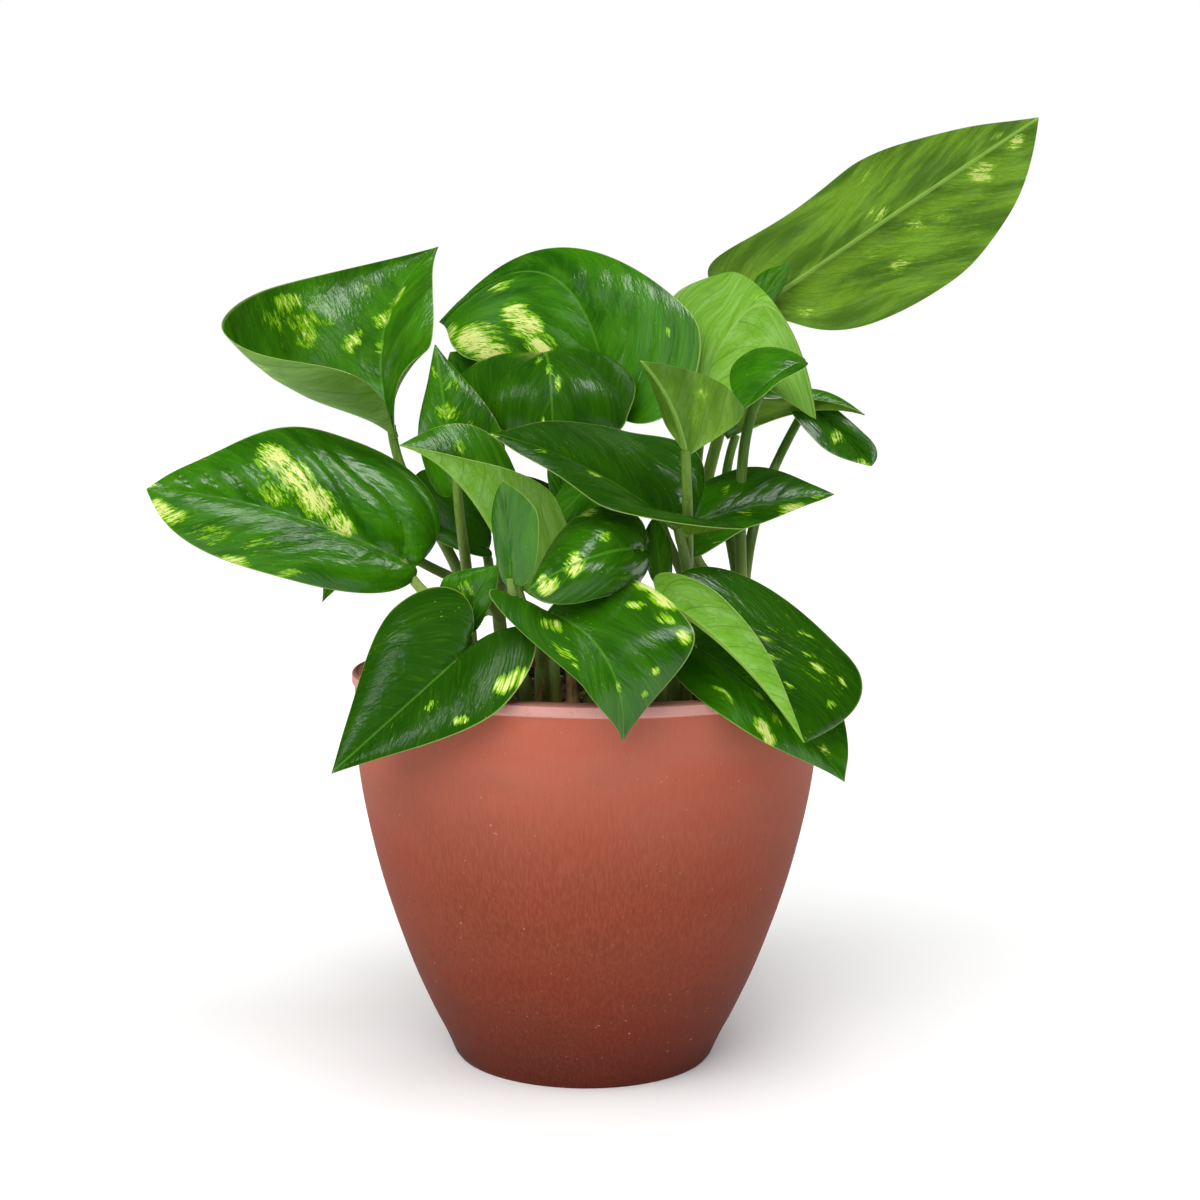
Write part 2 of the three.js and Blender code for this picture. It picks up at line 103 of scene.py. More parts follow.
def first(*node, **settings):
    # the first output of a new node
    return put(*node, **settings).outputs[0]


# The next ones add a node to the tree that their first socket is in.
def calc(operation, a, b=0.0, c=0.0):
    return first(a.id_data, "ShaderNodeMath", {0: a, 1: b, 2: c}, operation=operation)


def times(a, b):
    return calc("MULTIPLY", a, b)


def ramp(value, low, high, outLow=0.0, outHigh=1.0):
    inputs = {"Value": value, "From Min": low, "From Max": high, "To Min": outLow, "To Max": outHigh}
    return first(value.id_data, "ShaderNodeMapRange", inputs, interpolation_type="SMOOTHSTEP")


def noise(place, scale, detail, roughness, stretch=(1, 1, 1)):
    moved = first(place.id_data, "ShaderNodeMapping", {"Vector": place, "Scale": stretch})
    inputs = {"Vector": moved, "Scale": scale, "Detail": detail, "Roughness": roughness}
    return first(place.id_data, "ShaderNodeTexNoise", inputs)


def bump(height, distance, strength):
    inputs = {"Height": height, "Distance": distance, "Strength": strength}
    return first(height.id_data, "ShaderNodeBump", inputs)


def axis(vector, index):
    return put(vector.id_data, "ShaderNodeSeparateXYZ", {0: vector}).outputs[index]


def paint(red, green, blue):
    # a colour from its 0 to 255 display values, by the usual display curve
    parts = [v / 255 for v in (red, green, blue)]
    return [v / 12.92 if v <= 0.04045 else ((v + 0.055) / 1.055) ** 2.4 for v in parts] + [1.0]


def coats(ground, rows, palette={}):
    # each row is the share and the colour of a coat over those before it, and how it blends
    colour = paint(*palette.get(ground, ground))
    for share, over, *way in rows:
        inputs = {0: share, 6: colour, 7: paint(*palette.get(over, over))}
        settings = {"data_type": "RGBA", "blend_type": way[0] if way else "MIX"}
        colour = put(share.id_data, "ShaderNodeMix", inputs, **settings).outputs[2]
    return colour


def newMaterial(name):
    material = bpy.data.materials.new(name)
    material.use_nodes = True
    tree = material.node_tree
    tree.nodes.clear()
    shader = put(tree, "ShaderNodeBsdfPrincipled")
    put(tree, "ShaderNodeOutputMaterial", {0: shader.outputs[0]})
    return material, tree, shader


def objectPlace(tree):
    return put(tree, "ShaderNodeTexCoord").outputs["Object"]


def feed(shader, **values):
    # sets or links the shader's sockets, named without their spaces
    for name, value in values.items():
        socket = next(each for each in shader.inputs if each.name.replace(" ", "") == name)
        setSocket(socket, value)


def newTree(name, **inputs):
    # Geometry Nodes with a geometry and a material, and the inputs that are named here with their kinds
    tree = bpy.data.node_groups.new(name, "GeometryNodeTree")
    for label, kind in {"Geometry": "Geometry", **inputs, "Material": "Material"}.items():
        tree.interface.new_socket(label, in_out="INPUT", socket_type="NodeSocket" + kind)
    tree.interface.new_socket("Geometry", in_out="OUTPUT", socket_type="NodeSocketGeometry")
    return tree, put(tree, "NodeGroupInput").outputs


def closeTree(tree, shape, material):
    real = first(tree, "GeometryNodeRealizeInstances", {0: shape})
    coloured = first(tree, "GeometryNodeSetMaterial", {"Geometry": real, "Material": material})
    put(tree, "NodeGroupOutput", {0: coloured})
    return tree


def grow(piece, tree, values):
    # runs a tree on the piece; a modifier keeps its inputs by the sockets' identifiers
    modifier = piece.modifiers.new(tree.name, "NODES")
    modifier.node_group = tree
    for item in tree.interface.items_tree:
        if item.in_out == "INPUT" and item.name in values:
            modifier[item.identifier] = values[item.name]
    return applyModifiers(piece)


def smoothThrough(points, steps):
    # a Catmull-Rom curve through the points
    points = np.asarray(points, float)
    padded = np.vstack([2 * points[0] - points[1], points, 2 * points[-1] - points[-2]])
    t = np.linspace(0, 1, steps, endpoint=False)[:, None]
    pieces = []
    for a, b, c, d in zip(padded, padded[1:], padded[2:], padded[3:]):
        bent = (2 * a - 5 * b + 4 * c - d) * t ** 2 + (3 * b - a - 3 * c + d) * t ** 3
        pieces.append(0.5 * (2 * b + (c - a) * t + bent))
    return np.vstack([*pieces, points[-1:]])


def bezier(points, t):
    # a quadratic or cubic curve at every t
    t = np.asarray(t, float)[:, None]
    level = [np.asarray(p, float)[None, :] for p in points]
    while len(level) > 1:
        level = [a * (1 - t) + b * t for a, b in zip(level, level[1:])]
    return level[0]


photoCamera = {
    "place": (0, -760, 255),
    "lens": 60,
    "sensor": 36,
    "pitchDown": 6.0,
    "turnRight": 0.35,
    "roll": 0.6,
    "nearest": 10,  # what it sees starts and ends here
    "furthest": 50000,
}


def makeCamera(setup):
    camera = newObject("photoCamera", bpy.data.cameras.new("photoCamera"))
    camera.data.lens = setup["lens"]
    camera.data.sensor_width = setup["sensor"]
    camera.data.clip_start = setup["nearest"] * mm
    camera.data.clip_end = setup["furthest"] * mm
    turns = ((-setup["turnRight"], "Z"), (90 - setup["pitchDown"], "X"), (setup["roll"], "Z"))
    stand = Matrix.Translation(Vector(setup["place"]) * mm)
    for degrees, line in turns:
        stand = stand @ Matrix.Rotation(math.radians(degrees), 4, line)
    camera.matrix_world = stand
    bpy.context.scene.camera = camera


studio = {
    "floorSize": 16000,
    "floorColour": (250, 250, 250),
    "floorGlow": 0.14,  # keeps the white floor white under the pot's wide soft shadow
    "horizon": 0.08,  # brightness of the studio's walls and of its ceiling
    "ceiling": 0.5,
    "ceilingFrom": 0.9,  # 0 is level and 1 straight up
    "mirrored": 0.06,  # share of that which glossy surfaces mirror
    # name, direction towards it, width in degrees, strength, and whether it is only for reflections
    "lamps": [
        ("keyLamp", (-0.4, -0.75, 0.8), 60, 2.0, False),
        ("topLamp", (0.1, -0.2, 1.0), 30, 0.9, False),
        ("softBox", (0.42, -0.25, 0.87), 24, 1.5, True),
        ("frontBox", (0.1, -0.7, 0.7), 24, 0.2, True),
        ("sideBox", (-0.75, -0.3, 0.6), 16, 0.3, True),
    ],
}


def makeFloor(setup):
    half = setup["floorSize"] / 2
    corners = [(-half, -half, 0), (half, -half, 0), (half, half, 0), (-half, half, 0)]
    floor = meshObject("studioFloor", corners, [(0, 1, 2, 3)])
    material, tree, shader = newMaterial("paleFloor")
    feed(shader, BaseColor=paint(*setup["floorColour"]), Roughness=0.9)
    feed(shader, EmissionColor=(1, 1, 1, 1), EmissionStrength=setup["floorGlow"])
    floor.data.materials.append(material)


def makeLight(setup):
    # the walls are dim and the ceiling bright for the light, and plain white for the camera
    world = bpy.data.worlds.new("studioSky")
    world.use_nodes = True
    sky = world.node_tree
    rise = axis(put(sky, "ShaderNodeTexCoord").outputs["Generated"], 2)
    glow = ramp(rise, 0.0, setup["ceilingFrom"], setup["horizon"], setup["ceiling"])
    rays = put(sky, "ShaderNodeLightPath").outputs
    glow = times(glow, ramp(rays["Is Glossy Ray"], 0, 1, 1, setup["mirrored"]))
    strength = first(sky, "ShaderNodeMix", {0: rays["Is Camera Ray"], 2: glow, 3: 1.0})
    background = sky.nodes["Background"].inputs
    setSocket(background["Color"], (1, 1, 1, 1))
    setSocket(background["Strength"], strength)
    bpy.context.scene.world = world
    for name, towards, width, strength, reflected in setup["lamps"]:
        lamp = newObject(name, bpy.data.lights.new(name, "SUN"))
        lamp.data.angle = math.radians(width)
        lamp.data.energy = strength
        lamp.visible_glossy = reflected
        lamp.visible_diffuse = not reflected
        lamp.rotation_euler = Vector(towards).to_track_quat("Z", "Y").to_euler()


bpy.context.scene.view_settings.view_transform = "Standard"
makeCamera(photoCamera)
makeFloor(studio)
makeLight(studio)
print("camera, floor and lights are set")


pot = {
    "height": 148.5,
    "wall": 6,
    "floor": 7,
    "rimRadius": 89.5,
    "bandHeight": 4.7,  # the band round the rim
    "bandStep": 1.1,
    "bandEdge": 0.5,
    "rimRound": 1.2,
    "grooveInset": 2.0,  # a fine groove runs round the top of the rim
    "grooveDepth": 0.6,
    "grooveWidth": 0.7,
    "topFlat": 2.2,
    "footRadius": 49,
    "footFlat": 6,
    "cornerRise": 4,  # where the inside turns from the wall to the floor
    "cornerRun": 3.6,
    "sides": 192,
    # radius and height up the outside
    "body": [(50.2, 1.5), (54, 10), (59.1, 20), (67.8, 40), (78, 70), (85.1, 100), (87.9, 122)],
    "drainRadius": 4,
    "drainCircle": 26,
    "drainSides": 40,
    "drains": 3,
    "cutPast": 2,  # how far the cutter of a drain hole reaches past the floor
}


def arc(centre, radius, start, end, steps=6):
    angles = np.radians(np.linspace(start, end, steps))
    return [(centre[0] + radius * math.cos(a), centre[1] + radius * math.sin(a)) for a in angles]


def potProfile(size):
    top, rim, rounding, edge = (size[key] for key in ("height", "rimRadius", "rimRound", "bandEdge"))
    wall, floor, rise, run = (size[key] for key in ("wall", "floor", "cornerRise", "cornerRun"))
    neck = rim - size["bandStep"]
    inner = neck - wall
    under = top - size["bandHeight"]
    body = [tuple(p) for p in smoothThrough(size["body"] + [(neck, under)], 6)]
    outside = [(0, 0), (size["footRadius"] - size["footFlat"], 0), (size["footRadius"], 0), *body[:-1]]
    outside += [(neck, under), (neck + edge / 2, under + 0.3 * edge)]
    outside += [(rim - edge / 2, under + 0.6 * edge)]
    outside += arc((rim - edge, under + 1.8 * edge), edge, -60, 0, 4)
    outside += arc((rim - rounding, top - rounding), rounding, 0, 90)
    groove, half = rim - size["grooveInset"], size["grooveWidth"] / 2
    outside += [(groove + half, top), (groove, top - size["grooveDepth"]), (groove - half, top)]
    outside += [(inner + size["topFlat"], top)]
    outside += arc((inner + rounding, top - rounding), rounding, 90, 180)
    inside = [(r - wall, z) for r, z in reversed(body) if z > floor + rise]
    foot = inside[-1][0]
    return outside + inside + [(foot - run / 3, floor + rise / 2), (foot - run, floor), (0, floor)]


def turnedShell(profile, sides):
    # a closed shell of revolution whose profile starts and ends on the axis
    angles = np.linspace(0, 2 * math.pi, sides, endpoint=False)
    points = [(0, 0, profile[0][1])]
    for radius, height in profile[1:-1]:
        points += [(radius * math.cos(a), radius * math.sin(a), height) for a in angles]
    points.append((0, 0, profile[-1][1]))
    last = len(points) - 1
    faces = []
    for s in range(sides):
        t = (s + 1) % sides
        faces.append((0, 1 + t, 1 + s))
        for low in range(1, last - sides, sides):
            high = low + sides
            faces.append((low + s, low + t, high + t, high + s))
        faces.append((last - sides + s, last - sides + t, last))
    return points, faces


def terracottaMaterial(size):
    material, tree, shader = newMaterial("terracottaClay")
    place = objectPlace(tree)
    height = axis(place, 2)
    top = size["height"]
    band = top - size["bandHeight"]
    wash = noise(place, 20, 2, 0.5, (1, 1, 2.2))
    streak = ramp(noise(place, 1300, 3, 0.6, (1, 1, 0.03)), 0.35, 0.7)
    grain = noise(place, 1500, 2, 0.6)
    fleck = noise(place, 760, 1, 0.5)
    frost = ramp(height, (band - 0.5) * mm, (band + 0.5) * mm, 0, 0.8)
    worn = ramp(noise(place, 900, 3, 0.7), 0.5, 0.75, 0, 0.3)
    colour = coats((80, 24, 8), [
        # darker towards the foot: painted shade of the light from above
        (ramp(height, -0.02, 0.09), (138, 63, 41)),
        (ramp(height, 0.07, 0.15), (190, 109, 90)),
        # broad redder and browner bands, then fine upright streaks that fade towards the foot
        (ramp(wash, 0.42, 0.7, 0, 0.7), (255, 228, 214), "MULTIPLY"),
        (ramp(wash, 0.3, 0.56, 0.45, 0), (226, 228, 212), "MULTIPLY"),
        (times(streak, ramp(height, 0.0, 0.12, 0.1, 0.3)), (186, 106, 80)),
        (ramp(grain, 0.6, 0.78, 0, 0.3), (90, 40, 26)),
        (ramp(fleck, 0.76, 0.8, 0, 0.6), (206, 158, 136)),
        # the rim's band is frosted and worn, under a thin dark line of painted shade along the rim's
        # rounded edge, and the duller top
        (frost, (220, 168, 160)),
        (ramp(height, (top - 1.0) * mm, (top - 0.6) * mm, 0, 0.6), (118, 62, 50)),
        (ramp(height, (top - 0.6) * mm, (top - 0.2) * mm, 0, 0.85), (176, 112, 98)),
        (times(worn, frost), (148, 84, 72)),
    ])
    relief = calc("ADD", times(grain, 0.35), times(streak, 0.4))
    feed(shader, BaseColor=colour, Normal=bump(relief, 0.0003, 0.4))
    feed(shader, Roughness=ramp(streak, 0, 1, 0.6, 0.72), SpecularIORLevel=0.15)
    return material


def makePot(size):
    piece = meshObject("terracottaPot", *turnedShell(potProfile(size), size["sides"]))
    low, high, radius = -size["cutPast"], size["floor"] + size["cutPast"], size["drainRadius"]
    post, faces = turnedShell([(0, low), (radius, low), (radius, high), (0, high)], size["drainSides"])
    cutters = []
    for i in range(size["drains"]):
        angle = 2 * math.pi * i / size["drains"]
        x, y = size["drainCircle"] * math.cos(angle), size["drainCircle"] * math.sin(angle)
        cutters.append(meshObject("drainCutter", np.array(post) + (x, y, 0), faces))
        cut = piece.modifiers.new("drain", "BOOLEAN")
        cut.object = cutters[-1]
        cut.solver = "EXACT"
    piece = applyModifiers(piece)
    for cutter in cutters:
        bpy.data.objects.remove(cutter)
    sharpEdges(piece.data, 40)
    piece.data.materials.clear()
    piece.data.materials.append(terracottaMaterial(size))
    return piece


terracottaPot = makePot(pot)
print("pot is turned")


mix = {
    "level": 137,
    "lump": 1.6,
    "wallGap": 0.6,
    "floorGap": 0.3,
    "bends": [20, 40, 70, 100, 122],  # heights at which its side follows the pot's wall
    "rings": 44,
    "sides": 132,
    "seed": 7,
    # material, its dark and light colour and the colour of its spots
    "bed": ("dampMix", (34, 24, 18), (66, 48, 36), (112, 88, 66)),
    # name, pieces on each square centimetre, smallest and largest radius, flatness, then as above
    "crumbs": [
        ("barkCrumbs", 9.0, 0.7, 2.3, 0.6, "barkBrown", (52, 34, 24), (104, 72, 50), (140, 106, 78)),
        ("dustCrumbs", 26.0, 0.3, 0.9, 0.8, "mixDust", (36, 26, 20), (72, 52, 38), (120, 98, 76)),
        ("perlite", 1.1, 0.5, 1.3, 0.85,
            "perliteWhite", (196, 188, 174), (232, 228, 218), (160, 150, 136)),
    ],
    "facingUp": 0.5,  # crumbs lie only on faces whose normals rise more than this
    "crumbScale": 1.3,  # the noise that makes a crumb uneven, and how far it pushes
    "crumbPush": 1.4,
    "crumbTurn": 6.28,
}


def soilHeight(x, y, edge):
    lumps = np.sin(x / 7 + 1) * np.cos(y / 8) + 0.6 * np.sin((x + y) / 4.5)
    fine = 0.35 * np.sin(x * 1.3 + 2) * np.cos(y * 1.1) + 0.25 * np.sin(x * 0.7 - y * 0.9)
    return mix["level"] + mix["lump"] * (lumps + fine) * (1 - edge ** 4)


def innerRadius(z):
    top = (pot["rimRadius"] - pot["bandStep"], pot["height"] - pot["rimRound"])
    radii, heights = zip(*pot["body"], top)
    return float(np.interp(z, heights, radii)) - pot["wall"]


def makeSoil(size):
    levels = [pot["floor"] + size["floorGap"], *size["bends"], size["level"]]
    side = [(innerRadius(z) - size["wallGap"], z) for z in levels]
    rim = side[-1][0]
    inward = [(rim * k / size["rings"], size["level"]) for k in range(size["rings"] - 1, -1, -1)]
    points, faces = turnedShell([(0, levels[0]), *side, *inward], size["sides"])
    points = np.array(points)
    x, y, z = points.T
    top = 1 + len(levels) * size["sides"]
    z[top:] = soilHeight(x, y, np.hypot(x, y) / rim)[top:]
    piece = meshObject("soilBed", points, faces)
    sharpEdges(piece.data, 60)
    return piece


def crumbTree(size):
    # scatters small lumps over the upward faces of a mesh
    inputs = {name: "Float" for name in ("Density", "Smallest", "Largest", "Flatness")}
    tree, given = newTree("crumbScatter", **inputs, Seed="Int")
    seed = given["Seed"]
    upward = axis(first(tree, "GeometryNodeInputNormal"), 2)
    top = first(tree, "FunctionNodeCompare", {0: upward, 1: size["facingUp"]}, operation="GREATER_THAN")
    inputs = {"Mesh": given["Geometry"], "Selection": top, "Density": given["Density"], "Seed": seed}
    spread = first(tree, "GeometryNodeDistributePointsOnFaces", inputs)
    lump = first(tree, "GeometryNodeMeshIcoSphere", {"Radius": 1.0, "Subdivisions": 1})
    place = first(tree, "GeometryNodeInputPosition")
    inputs = {"Vector": place, "Scale": size["crumbScale"], "Detail": 2.0}
    rough = put(tree, "ShaderNodeTexNoise", inputs).outputs[1]
    centred = first(tree, "ShaderNodeVectorMath", {0: rough, 1: (0.5, 0.5, 0.5)}, operation="SUBTRACT")
    inputs = {0: centred, "Scale": size["crumbPush"]}
    offset = first(tree, "ShaderNodeVectorMath", inputs, operation="SCALE")
    stone = first(tree, "GeometryNodeSetPosition", {"Geometry": lump, "Offset": offset})
    inputs = {1: (size["crumbTurn"],) * 3, "Seed": seed}
    turn = first(tree, "FunctionNodeRandomValue", inputs, data_type="FLOAT_VECTOR")
    inputs = {2: given["Smallest"], 3: given["Largest"], "Seed": seed}
    radius = put(tree, "FunctionNodeRandomValue", inputs, data_type="FLOAT").outputs[1]
    flat = times(radius, given["Flatness"])
    shape = first(tree, "ShaderNodeCombineXYZ", {0: radius, 1: flat, 2: flat})
    inputs = {"Points": spread, "Instance": stone, "Rotation": turn, "Scale": shape}
    placed = first(tree, "GeometryNodeInstanceOnPoints", inputs)
    return closeTree(tree, placed, given["Material"])


def earthMaterial(name, dark, light, spots):
    material, tree, shader = newMaterial(name)
    place = objectPlace(tree)
    colour = coats(dark, [
        (ramp(noise(place, 160, 4, 0.6), 0.3, 0.7), light),
        (ramp(noise(place, 900, 2, 0.5), 0.66, 0.74, 0, 0.7), spots),
    ])
    height = noise(place, 700, 4, 0.65)
    feed(shader, BaseColor=colour, Roughness=0.95, Normal=bump(height, 0.0008, 0.8))
    return material


soilBed = makeSoil(mix)
soilBed.data.materials.append(earthMaterial(*mix["bed"]))
scatterTree = crumbTree(mix)


def scatterCrumbs(seed, name, density, smallest, largest, flatness, *finish):
    values = {"Density": density * 1e4, "Smallest": smallest * mm, "Largest": largest * mm}
    values.update({"Flatness": flatness, "Seed": seed, "Material": earthMaterial(*finish)})
    return grow(newObject(name, soilBed.data.copy()), scatterTree, values)


crumbs = [scatterCrumbs(mix["seed"] + order, *row) for order, row in enumerate(mix["crumbs"])]
print("potting mix is filled in")


# Where each cutting is planted, and where its short stem ends.
cuttings = {
    "left_front": ((-40, -34), (-44, -34, 160)),
    "left": ((-44, 6), (-46, 4, 168)),
    "left_back": ((-34, 44), (-36, 46, 164)),
    "front": ((-16, -50), (-16, -50, 156)),
    "middle": ((6, -18), (6, -18, 165)),
    "back": ((2, 42), (2, 44, 168)),
    "right_front": ((32, -46), (32, -46, 158)),
    "right_middle": ((36, -30), (36, -32, 162)),
    "right": ((58, 8), (60, 10, 165)),
    "right_back": ((40, 44), (42, 46, 165)),
}

# base is where the petiole meets the blade. bend moves the middle of the midrib. right and left reach
# from the midrib to the margin, seen from above with the tip ahead, at the share of it in wide.
# lobes reach back past the base, full says how broad a side stays towards the tip, and swell how far
# it bulges upward. A number in lobes or full is a share, and a triple is a vector. Some leaves have
# more: pull moves each margin between its lobe and its widest place, cup sags the left side, quilt
# and lean change the side veins, and arrive is how the petiole comes in. tone says how far the green
# of the upper side and of the underside goes towards the light one, or below 0 towards the dark one,
# which is partly the leaf's own darker green and partly painted shade.
usualShape = {
    "wide": (0.5, 0.5), "lobes": (0.1, 0.1), "full": (0.5, 0.5), "swell": (2, 2), "cup": 0,
    "pull": ((0, 0, 0), (0, 0, 0)), "quilt": (1, 1), "lean": 0.6, "arrive": None, "tone": (0, 0),
}
rearShape = {"wide": (0.2, 0.2), "lobes": (0.25, 0.25), "full": (0.4, 0.4), "swell": (3, 3)}


def leafRow(name, on, base, tip, bend, right, left, **shape):
    # on is the leaf's cutting; shape is what differs from the usual
    made = dict(name=name, on=on, base=base, tip=tip, bend=bend, right=right, left=left)
    return {**usualShape, **made, **shape}


